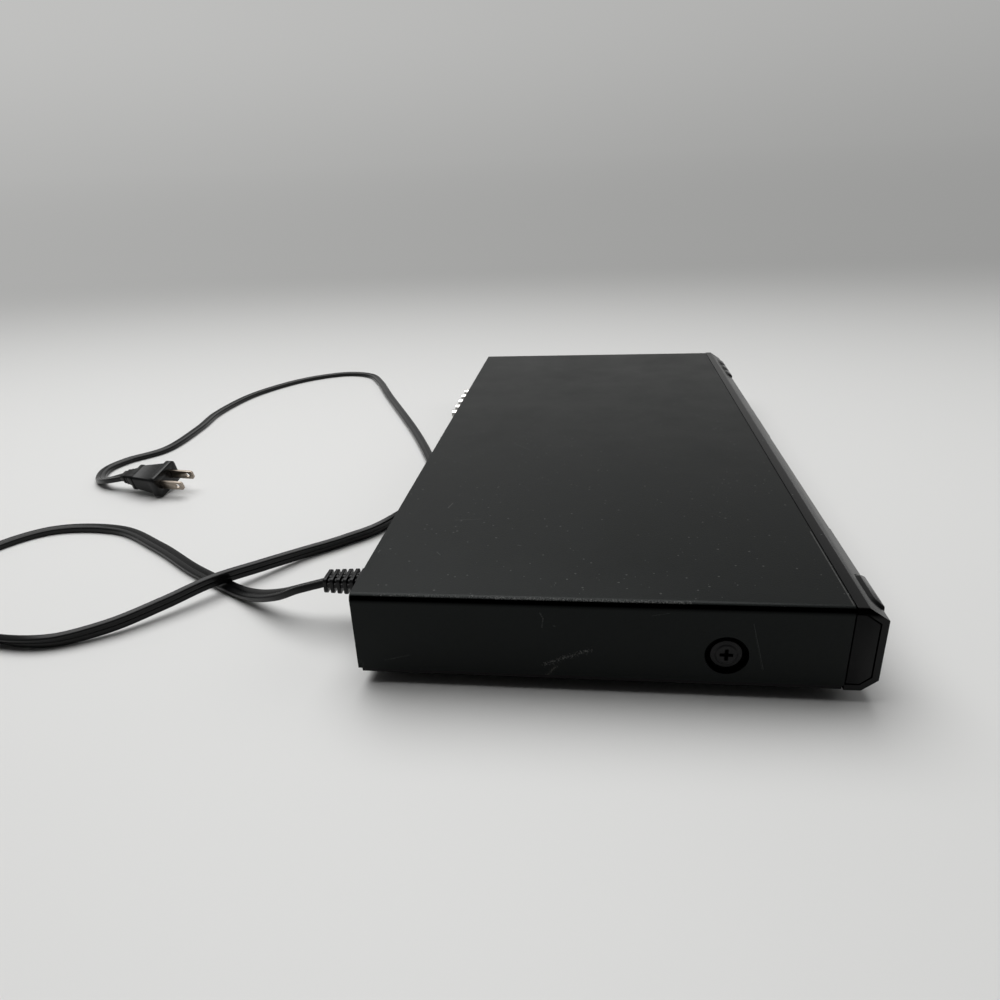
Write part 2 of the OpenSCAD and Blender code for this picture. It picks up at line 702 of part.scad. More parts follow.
module front_board() color("#1f6b3a") {
    block([window_x - 4, half_w - cap_t - 4], [front_board_y, front_board_y + board_t],
        [front_board_z, front_board_top]);
    block([power_x - power_switch_w / 2 + 1, power_x + power_switch_w / 2 + 1],
          [front_board_y, front_board_y + board_t], [front_board_z + 2.5, front_board_top]);
}

module display_module() color("#5d666b") {
    block([window_x + 10, window_x + window_w - 10], [bezel_y + bezel_wall + 1.2, front_board_y - 0.8],
          [window_z + 2, window_z + window_h - 2]);
    block([window_x + 14, window_x + window_w - 14], [front_board_y - 0.9, front_board_y],
          [window_z + 5, window_z + 8]);
}

// ---------- rear connections ----------

module jack_block() color("#131313") difference() {
    union() {
        block([jack_x - 7, jack_xs[jack_upper_n - 1][0] + 7], [panel_in - block_d, panel_in - 0.1],
              [jack_z - 6.8, jack_z + 6.2]);
        block([jack_x - 7, jack_low_xs[jack_lower_n - 1][0] + 7], [panel_in - block_d, panel_in - 0.1],
              [board_top, jack_z - 6]);
        block([jack_xs[jack_upper_n - 1][0] + 1, jack_xs[jack_upper_n - 1][0] + 7],
              [panel_in - block_d, panel_in - 0.1], [board_top, jack_z - 6]);
        for (j = jacks) rod_y(nose_r, panel_in - 1, nose_y - panel_in + 1, j[0], j[1]);
    }
    for (j = jacks) rod_y(jack_r - 0.2, panel_in - 6, 12, j[0], j[1]);
}

// each barrel has a thinner root inside its housing
module jack_barrels() color("#d9dadb") for (j = jacks) difference() {
    union() {
        rod_y(jack_r, nose_y, rear_y + jack_reach - nose_y, j[0], j[1]);
        rod_y(jack_r - 0.25, panel_in - 5.8, nose_y - panel_in + 5.9, j[0], j[1]);
    }
    rod_y(jack_r - jack_wall, panel_in - 7, rear_y + jack_reach - panel_in + 8, j[0], j[1]);
}

module jack_insulators() color("#c8372f") for (j = jacks) difference() {
    rod_y(jack_r - jack_wall - 0.05, panel_in - 5.6, rear_y + jack_reach - panel_in + 5, j[0], j[1]);
    rod_y(jack_hole_r, panel_in + 1, rear_y + jack_reach - panel_in, j[0], j[1]);
}

neck_w = 11;
neck_h = 8;
collar_w = 14;
collar_h = 10.5;
collar_t = 2.6;
rib_n = 8;
rib_t = 1.7;
rib_w = 13.4;
rib_h = 9.4;
rib_taper = 0.25;
spine_t = 2;
spine_sunk = 0.9;
rib_pitch = (relief_len - collar_t) / rib_n;

// sleeve round the cord with a spine on each of its four sides, crossed by ribs that grow smaller outwards
module strain_relief() color("#121212") translate([relief_x, 0, relief_z]) {
    along_y(panel_in - 5, 5) pad(neck_w + 3, neck_h + 2.4, 2);
    along_y(panel_in - 1, sheet_t + 2) pad(neck_w, neck_h, 1.8);
    along_y(panel_out, collar_t) pad(collar_w, collar_h, 2.5);
    along_y(panel_out, relief_len) pad(cord_w + 1, cord_t + 1, 1.6);
    for (i = [0:rib_n - 1]) let (w = rib_w - i * rib_taper, h = rib_h - i * rib_taper)
        translate([0, panel_out + collar_t + (i + 1) * rib_pitch, 0]) {
            along_y(-rib_t, rib_t) pad(w, h, 1.8);
            along_y(-rib_pitch - 0.1, rib_pitch) square([spine_t, h - 2 * spine_sunk], center = true);
            along_y(-rib_pitch - 0.1, rib_pitch) square([w - 2 * spine_sunk, spine_t], center = true);
        }
}

function spline(p, n) = [for (i = [0:len(p) - 2]) let (
        a = p[max(i - 1, 0)], b = p[i], c = p[i + 1], d = p[min(i + 2, len(p) - 1)])
    for (k = [0:n - 1]) let (t = k / n)
        (2 * b + (c - a) * t + (2 * a - 5 * b + 4 * c - d) * t * t + (3 * b - a - 3 * c + d) * t * t * t) / 2];

function place(q) = [q[0], q[1], q[2]];

// half the height of a flat section with sides corners, when its width is turned by roll
function half_rise(w, t, sides, roll) = let (k = tan(180 / sides), a = abs(sin(roll)), b = abs(cos(roll)))
    max(w * a + k * t * b, k * w * a + t * b) / 2;

// a flat tube along points of a place and a roll: sides corners to a ring, width level where the roll is 0
module flat_tube(p, w, t, sides) {
    n = len(p);
    dirs = [for (i = [0:n - 1]) let (v = place(p[min(i + 1, n - 1)] - p[max(i - 1, 0)])) v / norm(v)];
    rings = [for (i = [0:n - 1])
        let (d = dirs[i], s = [d[1], -d[0], 0] / norm([d[0], d[1]]), u = cross(s, d), roll = p[i][3])
        for (k = [0:sides - 1])
            let (a = 180 / sides + 360 * k / sides, x = w * cos(a) / 2, y = t * sin(a) / 2)
                place(p[i]) + (s * (x * cos(roll) - y * sin(roll)) + u * (x * sin(roll) + y * cos(roll)))
                    / cos(180 / sides)];
    polyhedron(rings, concat(
        [[for (k = [sides - 1:-1:0]) k]],
        [for (i = [0:n - 2], k = [0:sides - 1]) let (a = i * sides, m = (k + 1) % sides)
            each [[a + k, a + sides + m, a + sides + k], [a + k, a + m, a + sides + m]]],
        [[for (k = [0:sides - 1]) (n - 1) * sides + k]]));
}

cord_sides = 8;
cord_path = [for (q = concat(spline(route, 2), [route[len(route) - 1]]))
    [q[0], q[1], max(q[2], half_rise(cord_w, cord_t, cord_sides, q[3])), q[3]]];

module power_cord() color("#161616") flat_tube(cord_path, cord_w, cord_t, cord_sides);

// the plug's frame: origin where the cord enters, blades towards -Y
module at_plug() translate(cord_end) rotate([0, -plug_roll, plug_yaw]) children();

module plug_body() color("#141414") at_plug() difference() {
    union() {
        along_y(-plug_len, flange_t) pad(plug_w, plug_h, flange_corner_r);
        hull() {
            along_y(-plug_len + flange_t - 0.2, 1) pad(plug_w - 3, plug_h - 3, 2);
            along_y(grip_y - 1, 1) pad(grip_w - 1.4, grip_h - 1.4, 2);
        }
        along_y(grip_y - grip_t, grip_t) pad(grip_w, grip_h, 2.4);
        hull() {
            along_y(grip_y - 0.5, 1) pad(grip_w - 3.6, grip_h - 3, 2);
            along_y(-2, 1) pad(cord_w + 2, cord_t + 2, 2);
        }
        for (y = [-7.4, -4.8, -2.2]) along_y(y, 1.2) pad(cord_w + 2.6 - y * 0.35, cord_t + 2.6 - y * 0.3, 2);
        along_y(-3, 5) pad(cord_w + 1.6, cord_t + 1.6, 2);
    }
    for (s = [-1, 1]) translate([s * blade_pitch / 2, 0, 0])
        block([-blade_t / 2 - 0.05, blade_t / 2 + 0.05], [-plug_len - 1, -plug_len + 6.1],
              [-blade_w / 2 - 0.05, blade_w / 2 + 0.05]);
}

module plug_blades() color("#c9b489") at_plug() for (s = [-1, 1]) difference() {
    block([s * blade_pitch / 2 - blade_t / 2, s * blade_pitch / 2 + blade_t / 2],
          [-plug_len - blade_len, -plug_len + 6], [-blade_w / 2, blade_w / 2]);
    rod_x(1.55, s * blade_pitch / 2 - 2, 4, -plug_len - blade_len + 4.4);
    for (v = [-1, 1]) translate([0, -plug_len - blade_len, v * blade_w / 2]) rotate([45, 0, 0])
        cube([blade_pitch * 2, 1.6, 1.6], center = true);
}

// ---------- boards ----------

module board(x, y, w, d, holes) difference() {
    translate([x, y, board_z]) cube([w, d, board_t]);
    for (p = holes) translate([p[0], p[1], board_z - 1]) cylinder(r = boss_hole_r, h = board_t + 2);
}

module main_board() color("#1d6a3f")
    board(main_board_x, main_board_y, main_board_w, main_board_d, main_holes);

module power_board() color("#b98a4e")
    board(power_board_x, power_board_y, power_board_w, power_board_d, power_holes);

// chips: place as a share of the board's width and depth, then width, depth and height
chips = [[0.21, 0.385, 22, 22, 2.2], [0.375, 0.33, 10.5, 20, 1.2], [0.375, 0.58, 10.5, 16, 1.2],
         [0.52, 0.44, 12, 12, 1.6], [0.655, 0.25, 10, 6, 1.7], [0.655, 0.385, 10, 6, 1.7],
         [0.655, 0.52, 10, 6, 1.7], [0.115, 0.69, 14, 10, 1.8], [0.78, 0.575, 12, 18, 2.4]];
sink_w = 24;
connector_w = 12;
connector_d = 5;
connector_h = 5;
mains_size = [14, 9, 9];
low_size = [7, 26, 8];
fin_base = 2;
fin_h = 9;
power_sink = [20, 26, 20];

function on_main(c) = [main_board_x + c[0] * main_board_w, main_board_y + c[1] * main_board_d, board_top];

function on_power(c) =
    [power_board_x + c[0] * power_board_w, power_board_y + c[1] * power_board_d, board_top];

module board_chips() color("#1a1a1c") {
    for (c = chips) translate(on_main(c)) cube([c[2], c[3], c[4]]);
    // connector of the ribbon
    translate([ribbon_x + ribbon_w - connector_w, main_board_y + ribbon_inset, board_top])
        cube([connector_w, connector_d, connector_h]);
    // mains and low voltage connectors of the power supply
    translate([relief_x - mains_size[0] / 2, power_board_y + power_board_d - mains_size[1] - 5, board_top])
        cube(mains_size);
    translate([power_board_x + power_board_w - low_size[0] - 5, power_board_y + 8, board_top]) cube(low_size);
}

module fins(w, d, n, base, h) {
    cube([w, d, base]);
    for (i = [0:n - 1]) translate([i * (w - 1) / (n - 1), 0, 0]) cube([1, d, h]);
}

module heat_sinks() color("#a9adb0") {
    translate(on_main(chips[0]) + [-1, -1, chips[0][4]]) fins(sink_w, sink_w, 9, fin_base, fin_h);
    translate(on_power([0.6, 0.34])) fins(power_sink[0], power_sink[1], 6, fin_base, power_sink[2]);
}

core_w = 25;
core_t = 6;
core_h = 21;
winding_l = 16;

// two stacks of core plates at the ends of the winding, with a strap over them
module transformer() color("#2c2a25") translate(on_power([0.135, 0.325])) {
    cube([core_w, core_t, core_h]);
    translate([0, core_t + winding_l, 0]) cube([core_w, core_t, core_h]);
    translate([3, core_t, 2]) cube([core_w - 6, winding_l, core_h - 4]);
    translate([0, core_t - 2, core_h - 2]) cube([core_w, winding_l + 4, 3]);
}

big_cap_r = 9;
big_cap_h = 24;
cap_r = 5;
cap_h = 16;
small_cap_r = 4;
small_cap_h = 9;

// capacitors: place of the middle, radius and height
caps = concat(
    [for (c = [[0.73, 0.71, big_cap_r, big_cap_h], [0.3, 0.215, cap_r, cap_h], [0.52, 0.215, cap_r, cap_h],
               [0.71, 0.215, small_cap_r, small_cap_h]]) [on_power(c), c[2], c[3]]],
    [for (c = [[0.54, 0.17], [0.6, 0.675], [0.26, 0.73], [0.73, 0.83]])
        [on_main(c), small_cap_r, small_cap_h]]);

module board_capacitors() color("#20242e")
    for (c = caps) let (r = c[1], h = c[2]) translate(c[0]) rotate_extrude()
        polygon([[0, 0], [r, 0], [r, 1.6], [r - 0.4, 2], [r, 2.4], [r, h - 0.5], [r - 0.6, h], [0, h]]);

ribbon_w = 24;
ribbon_inset = 12;
ribbon_x = main_board_x + ribbon_inset;
ribbon_path = [[main_board_y + ribbon_inset + 1, board_top + connector_h + 0.3],
               [main_board_y + ribbon_inset - 3, board_top + connector_h + 1.5],
               [main_board_y - 4, board_top + 2],
               [cover_y + 14, pan_top + 1.5], [cover_y + 5, foot_h + front_flange_h + 2],
               [front_board_y + board_t + 1.4, foot_h + front_flange_h + 4],
               [front_board_y + board_t + 0.3, 20]];

module ribbon_cable() color("#d8d8d2") along_x(ribbon_x, ribbon_w)
    for (i = [0:len(ribbon_path) - 2]) hull() {
        translate(ribbon_path[i]) circle(0.25, $fn = 8);
        translate(ribbon_path[i + 1]) circle(0.25, $fn = 8);
    }

// ---------- loader ----------

shelf_z = skirt_bottom - tray_gap;
bridge_half = 22;
bridge_screw_xy = [for (x = [loader_x0 + 4, loader_x1 - 4], y = [disc_y - 14, disc_y + 14]) [x, y]];
window_y0 = cam_y - 0.9;
window_y1 = lift_rear + 4;
hold_ys = [cover_y + 8, disc_y + 40, tray_rear - 18];

module side_wall() {
    // wall, shelf under the tray, ledge for the bridge and hold-down tabs, on the left side
    block([loader_x0, loader_x0 + loader_wall], [loader_y0, loader_y1], [deck_z, wall_top]);
    block([loader_x0, tray_cx - tray_w / 2 + 3], [loader_y0, tray_rear + 2], [shelf_z - 2, shelf_z]);
    block([loader_x0, loader_x0 + 7.2], [disc_y - bridge_half, disc_y + bridge_half],
        [wall_top - 6, wall_top]);
    for (y = hold_ys) block([loader_x0, tray_cx - tray_w / 2 + 1.6], [y, y + 10],
                            [tray_top + tray_gap, tray_top + tray_gap + 1.8]);
}

module loader_frame() color("#2b2d30") difference() {
    union() {
        side_wall();
        translate([2 * tray_cx, 0, 0]) mirror([1, 0, 0]) side_wall();
        block([loader_x0, loader_x1], [loader_y0, loader_y1], [deck_z, deck_top]);
        block([loader_x0, loader_x1], [loader_y1 - loader_wall, loader_y1], [deck_z, 30]);
        // kerb round the window
        difference() {
            block([tray_cx - window_half - 2, tray_cx + window_half + 2], [window_y1 - 30, window_y1 + 2],
                [deck_z, deck_top + 2]);
            block([tray_cx - window_half - 1, tray_cx + window_half + 1], [window_y1 - 32, window_y1],
                [deck_z - 1, deck_top + 3]);
        }
        // axles of the tray gear and the pulley gear
        translate([tray_gear_x, gear_y, deck_z]) cylinder(r = axle_r, h = tray_under - 0.3 - deck_z);
        translate([pulley_gear_x, gear_y, deck_z]) cylinder(r = axle_r, h = belt_z + pulley_h + 0.6 - deck_z);
        // lugs for the lift frame's pivots
        for (s = [-1, 1]) translate([tray_cx + s * (window_half + 1.8) - 1.8, 0, 0]) {
            block([0, 3.6], [pivot_y - 5, pivot_y + 5], [deck_z, pivot_z]);
            rod_x(5, 0, 3.6, pivot_y, pivot_z);
        }
        // hooks that hold the cam slider at its front face and over its top edge
        for (x = hook_xs) {
            block([x, x + hook_w], [cam_y - slide_gap - hook_t, cam_y - slide_gap], [deck_z, hook_z]);
            block([x, x + hook_w], [cam_y - slide_gap - hook_t, hook_y], [cam_top + slide_gap, hook_z]);
            block([x, x + hook_w], [cam_y + cam_t + slide_gap, hook_y], [cam_top - 0.9, hook_z]);
        }
    }
    block([tray_cx - window_half, tray_cx + window_half], [window_y0, window_y1],
        [deck_z - 1, deck_top + 0.01]);
    for (s = [-1, 1])
        rod_x(pivot_pin_r + run_gap, tray_cx + s * (window_half + 1.8) - 3, 6, pivot_y, pivot_z);
    for (p = loader_posts) translate([p[0], p[1], deck_z - 1])
        cylinder(r = small_screw_r + screw_gap, h = deck_t + 2);
    for (p = bridge_screw_xy) translate([p[0], p[1], wall_top - 5.5])
        cylinder(r = small_screw_r + screw_gap, h = 6);
}

module clamp_bridge() color("#b4b7b9") difference() {
    union() {
        block([loader_x0, loader_x1], [disc_y - bridge_half + 1, disc_y + bridge_half - 1],
            [bridge_z, bridge_z + bridge_t]);
        for (s = [-1, 1]) along_x(loader_x0 + 12, loader_w - 24)
            translate([disc_y + s * (bridge_half - 1.5), bridge_z + 0.2])
            square([1, 2.4], center = false);
        translate([tray_cx, disc_y, bridge_z]) cylinder(r = clamp_hole_r + 1.2, h = bridge_t + 0.3);
    }
    translate([tray_cx, disc_y, bridge_z - 1]) cylinder(r = clamp_hole_r, h = 4);
    for (p = bridge_screw_xy) translate([p[0], p[1], bridge_z - 1])
        cylinder(r = small_screw_r + screw_gap, h = 4);
    for (s = [-1, 1], k = [30, 48]) translate([tray_cx + s * k, disc_y, bridge_z - 1]) linear_extrude(4)
        pad(10, 24, 3);
}

module loading_motor() color("#b0b3b5") translate([motor_x, gear_y, deck_top]) difference() {
    union() {
        cylinder(r = motor_r, h = motor_h - 0.6);
        cylinder(r = motor_r - 0.6, h = motor_h);
        cylinder(r = 3, h = motor_h + 0.8);
    }
    translate([0, 0, 1]) cylinder(r = motor_shaft_r + run_gap, h = motor_h + 2);
}

// grooved rim of a pulley: groove radius r
module pulley(r, h) rotate_extrude() polygon([[0, 0], [r + 1.1, 0], [r + 1.1, 0.5], [r, 0.8],
    [r, h - 0.8], [r + 1.1, h - 0.5], [r + 1.1, h], [0, h]]);

module motor_pulley() color("#d8d4c8") translate([motor_x, gear_y, belt_z]) {
    pulley(small_groove_r, pulley_h);
    translate([0, 0, deck_top + 1.3 - belt_z]) cylinder(r = motor_shaft_r, h = belt_z - deck_top);
}

module belt_loop(grow) hull() {
    translate([motor_x, gear_y]) circle(small_groove_r + grow);
    translate([pulley_gear_x, gear_y]) circle(big_groove_r + grow);
}

module drive_belt() color("#18181a") translate([0, 0, belt_z + (pulley_h - belt_t) / 2])
    linear_extrude(belt_t)
    difference() {
        belt_loop(0.05 + belt_t);
        belt_loop(0.05);
    }

// large gear at the bottom, rack gear above it; the rack gear has a tooth towards the rack
module tray_gear() color("#e4e0d2") translate([tray_gear_x, gear_y, 0]) difference() {
    union() {
        translate([0, 0, gear_hub_z]) cylinder(r = 4, h = 2);
        translate([0, 0, large_z]) linear_extrude(gear_face) gear_outline(train_m, large_n, 0);
        translate([0, 0, large_z + gear_face - 0.1]) linear_extrude(tray_under - 0.8 - large_z - gear_face)
            gear_outline(rack_m, rack_gear_n, 0);
    }
    translate([0, 0, gear_hub_z - 1]) cylinder(r = axle_r + run_gap, h = 30);
    for (a = [0:60:300]) rotate([0, 0, a]) translate([large_r * 0.66, 0, large_z - 1])
        cylinder(r = large_r * 0.13, h = gear_face + 2);
}

// its pinion has a gap towards the large gear
module pulley_gear() color("#e4e0d2") translate([pulley_gear_x, gear_y, 0]) difference() {
    union() {
        translate([0, 0, gear_hub_z]) linear_extrude(belt_z - gear_hub_z + 0.1)
            gear_outline(train_m, pulley_pinion_n, 180 / pulley_pinion_n);
        translate([0, 0, belt_z]) pulley(big_groove_r, pulley_h);
    }
    translate([0, 0, gear_hub_z - 1]) cylinder(r = axle_r + run_gap, h = 30);
}

// ---------- tray ----------

rack_first = ceil((tray_y + 8 - gear_y) / (PI * rack_m));
rack_last = floor((tray_rear - 2 - gear_y) / (PI * rack_m)) - 1;

module notch(w) {
    circle(w / 2);
    translate([-w / 2, 0]) square([w, tray_d]);
}

module disc_tray() color("#1c1d1f") difference() {
    union() {
        block([tray_cx - tray_w / 2, tray_cx + tray_w / 2], [tray_y, tray_rear], [tray_under, tray_top]);
        for (s = [-1, 1]) mirror_tray(s)
            block([tray_cx + tray_w / 2 - skirt_t, tray_cx + tray_w / 2], [tray_y, tray_rear],
                                               [skirt_bottom, tray_under + 1]);
        // the rack has a gap between two teeth beside the gear's axle
        translate([rack_x, gear_y + PI * rack_m / 2, rack_z]) linear_extrude(tray_under - rack_z + 1)
            rack_outline(rack_m, rack_first, rack_last, 3.4, -1);
    }
    translate([tray_cx, disc_y, well_z]) cylinder(r = well_r, h = 10);
    translate([tray_cx, disc_y, well_z - small_well_depth]) cylinder(r = small_well_r, h = 10);
    translate([tray_cx, disc_y, tray_under - 6]) linear_extrude(20) notch(notch_w);
    // finger rests at the sides of the well
    for (s = [-1, 1]) translate([tray_cx + s * 42, tray_y + 16, well_z]) cylinder(r = 12, h = 10);
    // lightening pockets under the deck behind the well
    for (s = [-1, 1]) mirror_tray(s)
        block([tray_cx + notch_w / 2 + 4, tray_cx + rack_offset - 3], [disc_y + well_r + 4, tray_rear - 4],
                                           [tray_under - 1, tray_under + 2.4]);
}

module mirror_tray(s) translate([s < 0 ? 2 * tray_cx : 0, 0, 0]) mirror([s < 0 ? 1 : 0, 0, 0]) children();

module tray_door() color("#17181a") difference() {
    union() {
        block([slot_x + bezel_gap, slot_x + slot_w - bezel_gap], [door_y, tray_y],
            [slot_z + bezel_gap, slot_top - bezel_gap]);
        // clips under the tray's front edge
        for (s = [-1, 1]) mirror_tray(s)
            block([tray_cx + 34, tray_cx + 42], [tray_y - 1, tray_y + 6],
                [tray_under - 2.2, tray_under - 0.1]);
    }
    for (k = [0:1]) block([slot_x, slot_x + slot_w], [door_y - 1, door_y + 0.3],
        [slot_z + 1.6 + k * 1.4, slot_z + 2.1 + k * 1.4]);
}

// ---------- traverse ----------

cam_x0 = tray_cx - 46;
cam_x1 = tray_cx + 36;
cam_z = pan_top + 0.5;
cam_top = 20;
slide_gap = 0.3;
hook_xs = [tray_cx - 32, tray_cx + 9];
hook_w = 6;
hook_t = 2;
hook_y = cam_y + cam_t + slide_gap + 1.9;
hook_z = cam_top + slide_gap + 1.6;

module cam_slot(x) hull() {
    translate([x, pivot_z]) circle(pin_r + pin_gap, $fn = 32);
    translate([x - cam_travel, pivot_z - cam_drop]) circle(pin_r + pin_gap, $fn = 32);
}

module cam_slider() color("#d9d5c6") difference() {
    union() {
        along_y(cam_y, cam_t) translate([cam_x0, cam_z]) square([cam_x1 - cam_x0, cam_top - cam_z]);
        // upstand that the tray pushes at the end of its travel
        block([cam_x1 - 18, cam_x1 - 2], [cam_y, cam_y + cam_t], [cam_top - 0.1, cam_top + 2.9]);
    }
    for (x = cam_pin_xs) along_y(cam_y - 1, cam_t + 2) cam_slot(tray_cx + x);
}

module lift_frame() color("#34373a") difference() {
    union() {
        difference() {
            block([tray_cx - lift_half, tray_cx + lift_half], [lift_front, lift_rear],
                [lift_z, lift_z + lift_t]);
            block([tray_cx - lift_half + 8, tray_cx + lift_half - 8], [lift_front + 8, lift_rear - 8],
                [lift_z - 1, lift_z + lift_t + 1]);
        }
        for (x = cam_pin_xs) rod_y(pin_r, cam_y + 0.3, lift_front - cam_y, tray_cx + x, pivot_z);
        for (x = [-window_half - 3.5, lift_half - 1])
            rod_x(pivot_pin_r, tray_cx + x, window_half + 4.5 - lift_half, pivot_y, pivot_z);
        for (p = damper_xy) translate([tray_cx + p[0], p[1], lift_z])
            cylinder(r = damper_r + 0.8, h = lift_t);
    }
    for (p = damper_xy) translate([tray_cx + p[0], p[1], lift_z - 1])
        cylinder(r = damper_hole_r, h = lift_t + 2);
}

damper_low_h = plate_z - lift_z - lift_t;
damper_top_h = damper_low_h + plate_t;

module traverse_dampers() color("#1b1b1b")
    for (p = damper_xy) translate([tray_cx + p[0], p[1], lift_z + lift_t]) difference() {
        rotate_extrude() polygon([[0, 0], [damper_r, 0], [damper_r, damper_low_h - 0.1],
            [damper_waist_r, damper_low_h], [damper_waist_r, damper_top_h],
            [damper_r - 0.2, damper_top_h + 0.1], [damper_r - 0.6, damper_top_h + 1.6],
            [0, damper_top_h + 1.6]]);
        translate([0, 0, -1]) cylinder(r = damper_hole_r, h = damper_top_h + 4);
    }

module traverse_plate() color("#a6a9ab") difference() {
    union() {
        block([tray_cx - plate_half, tray_cx + plate_half], [lift_front + 2, lift_rear - 4],
            [plate_z, plate_top]);
        for (x = [-rail_left, rail_right], y = [rail_y0, rail_y0 + rail_len - holder_d])
            block([tray_cx + x - 3.6, tray_cx + x + 3.6], [y, y + holder_d],
                [plate_top - 0.2, rail_z + rail_r + 1.3]);
        translate([sled_gear_x, sled_gear_y, plate_top - 0.2])
            cylinder(r = 1, h = sled_rack_z + 3.4 - plate_top);
    }
    for (p = damper_xy) translate([tray_cx + p[0], p[1], plate_z - 1])
        cylinder(r = damper_waist_r + 0.1, h = plate_t + 2);
    translate([tray_cx, disc_y, plate_z - 1]) cylinder(r = 4.2, h = plate_t + 2);
    block([tray_cx - 12, tray_cx + 12], [lens_y - 8, rail_y0 + rail_len - 12], [plate_z - 1, plate_top + 1]);
    translate([sled_pinion_x, sled_pinion_y, plate_z - 1]) cylinder(r = 2.2, h = plate_t + 2);
    for (x = [-rail_left, rail_right]) rod_y(rail_r + 0.02, rail_y0 + 1, rail_len - 2, tray_cx + x, rail_z);
}

module guide_rails() color("#d6d8da") for (x = [-rail_left, rail_right])
    rod_y(rail_r, rail_y0 + 1.2, rail_len - 2.4, tray_cx + x, rail_z);

// base plate, bearing and wound core of the spindle motor
module spindle_motor() color("#8a6f4a") translate([tray_cx, disc_y, 0]) difference() {
    union() {
        translate([0, 0, plate_z - 4]) cylinder(r = 4, h = rotor_top - plate_z + 2.4);
        translate([0, 0, plate_top]) linear_extrude(1) pad(24, 30, 3);
        translate([0, 0, plate_top + 2.2]) linear_extrude(4.4) difference() {
            circle(rotor_r - 1.6);
            for (i = [0:8]) rotate(i * 40) translate([rotor_r - 3.4, 0]) square([8, 1.6], center = true);
        }
    }
    translate([0, 0, plate_z - 3]) cylinder(r = spindle_r + run_gap, h = 30);
}

module spindle_rotor() color("#c3c6c8") translate([tray_cx, disc_y, 0]) {
    difference() {
        translate([0, 0, plate_top + 1.4]) cylinder(r = rotor_r, h = rotor_top - plate_top - 1.4);
        translate([0, 0, plate_top]) cylinder(r = rotor_r - 1, h = rotor_top - plate_top - 1);
    }
    translate([0, 0, plate_z - 2.8]) cylinder(r = spindle_r, h = seat_z + 2.4 - plate_z + 2.8);
}

module turntable() color("#26272a") translate([tray_cx, disc_y, 0]) difference() {
    rotate_extrude() polygon([[0, rotor_top + 0.1], [turntable_r - 3, rotor_top + 0.1],
        [turntable_r, rotor_top + 2], [turntable_r, seat_z - 0.3], [turntable_r - 0.6, seat_z],
        [7.4, seat_z], [7.3, seat_z + 0.8], [5.4, seat_z + 2.7], [0, seat_z + 2.7]]);
    translate([0, 0, rotor_top - 1]) cylinder(r = spindle_r + 0.01, h = 10);
}

// the clamper hangs by its upper flange in the bridge's hole; its rim hangs over the disc
clamp_gap = 0.3;
clamp_rim_r = 15;
clamp_rim_t = 1.1;
clamp_neck_r = 9.5;
clamp_flange_r = 13;
clamp_low = bridge_z - clamp_gap - clamp_rim_t;
clamp_flange_z = bridge_z + bridge_t + clamp_gap;
magnet_r = 7.6;
magnet_hole_r = 3;
magnet_h = 2;
magnet_z = clamp_low + 1.65;

module clamper() color("#2e3033") translate([tray_cx, disc_y, 0]) difference() {
    rotate_extrude() polygon([[0, clamp_low], [clamp_rim_r, clamp_low],
        [clamp_rim_r, clamp_low + clamp_rim_t], [clamp_neck_r, clamp_low + clamp_rim_t],
        [clamp_neck_r, clamp_flange_z], [clamp_flange_r, clamp_flange_z],
        [clamp_flange_r, clamp_flange_z + 1.1], [clamp_flange_r - 1, clamp_flange_z + 1.5],
        [0, clamp_flange_z + 1.5]]);
    translate([0, 0, clamp_low - 1]) cylinder(r = magnet_r + 0.6, h = magnet_z - clamp_low + 1.05);
    translate([0, 0, magnet_z - 0.05]) cylinder(r = magnet_r + 0.05, h = magnet_h + 0.1);
}

module clamp_magnet() color("#6d6f72") translate([tray_cx, disc_y, magnet_z])
    tube(magnet_r, magnet_hole_r, magnet_h);

module pickup_sled() color("#3a3c40") difference() {
    union() {
        // sleeve on the main rail
        block([tray_cx - rail_left - 4.2, tray_cx - rail_left + 4.2], [sled_y0, sled_y0 + sled_d],
            [rail_z - 2.7, rail_z + 2.9]);
        // body
        block([tray_cx - rail_left + 4, tray_cx + rail_right - 3], [sled_y0 + 1.6, sled_y0 + sled_d - 2],
            [plate_top + 1.2, rail_z + 2.4]);
        // optical block reaching down through the plate's opening
        block([tray_cx - 9, tray_cx + 9], [sled_y0 + 4, sled_y0 + sled_d - 6],
            [plate_z - 3.4, plate_top + 1.4]);
        // fork on the second rail, and the arm of the rack
        block([tray_cx + rail_right - 3.2, tray_cx + rail_right + 4], [sled_y0 + 8, sled_y0 + 20],
            [sled_rack_z, rail_z + 2.4]);
        block([tray_cx + rail_right + 3.8, tray_cx + sled_rack_offset - 3], [sled_y0 + 8, sled_y0 + 20],
            [sled_rack_z, sled_rack_z + 2.4]);
        translate([tray_cx + sled_rack_offset, sled_gear_y + PI * sled_m / 2, sled_rack_z])
            linear_extrude(2.4)
            rack_outline(sled_m, sled_rack_first, sled_rack_last, 3.2, 1);
    }
    rod_y(rail_r + run_gap, sled_y0 - 1, sled_d + 2, tray_cx - rail_left, rail_z);
    block([tray_cx + rail_right - 2.6, tray_cx + rail_right + 5], [sled_y0 + 7, sled_y0 + 21],
        [rail_z - rail_r - 0.1, rail_z + rail_r + 0.1]);
}

sled_rack_first = ceil((sled_gear_y - sled_travel - 4 - sled_gear_y) / (PI * sled_m));
sled_rack_last = 3;

module pickup_lens() color("#51555c") translate([tray_cx, lens_y, 0]) {
    difference() {
        translate([0, 0, rail_z + 2.4]) linear_extrude(3.4) pad(18, 16, 2);
        translate([0, 0, rail_z + 3]) cylinder(r = 4, h = 8);
    }
    translate([0, 0, rail_z + 2.9]) rotate_extrude()
        polygon([[0, 0], [3.6, 0], [3.6, 3.6], [3, 4], [2.4, 4], [1.6, 4.6], [0, 4.8]]);
}

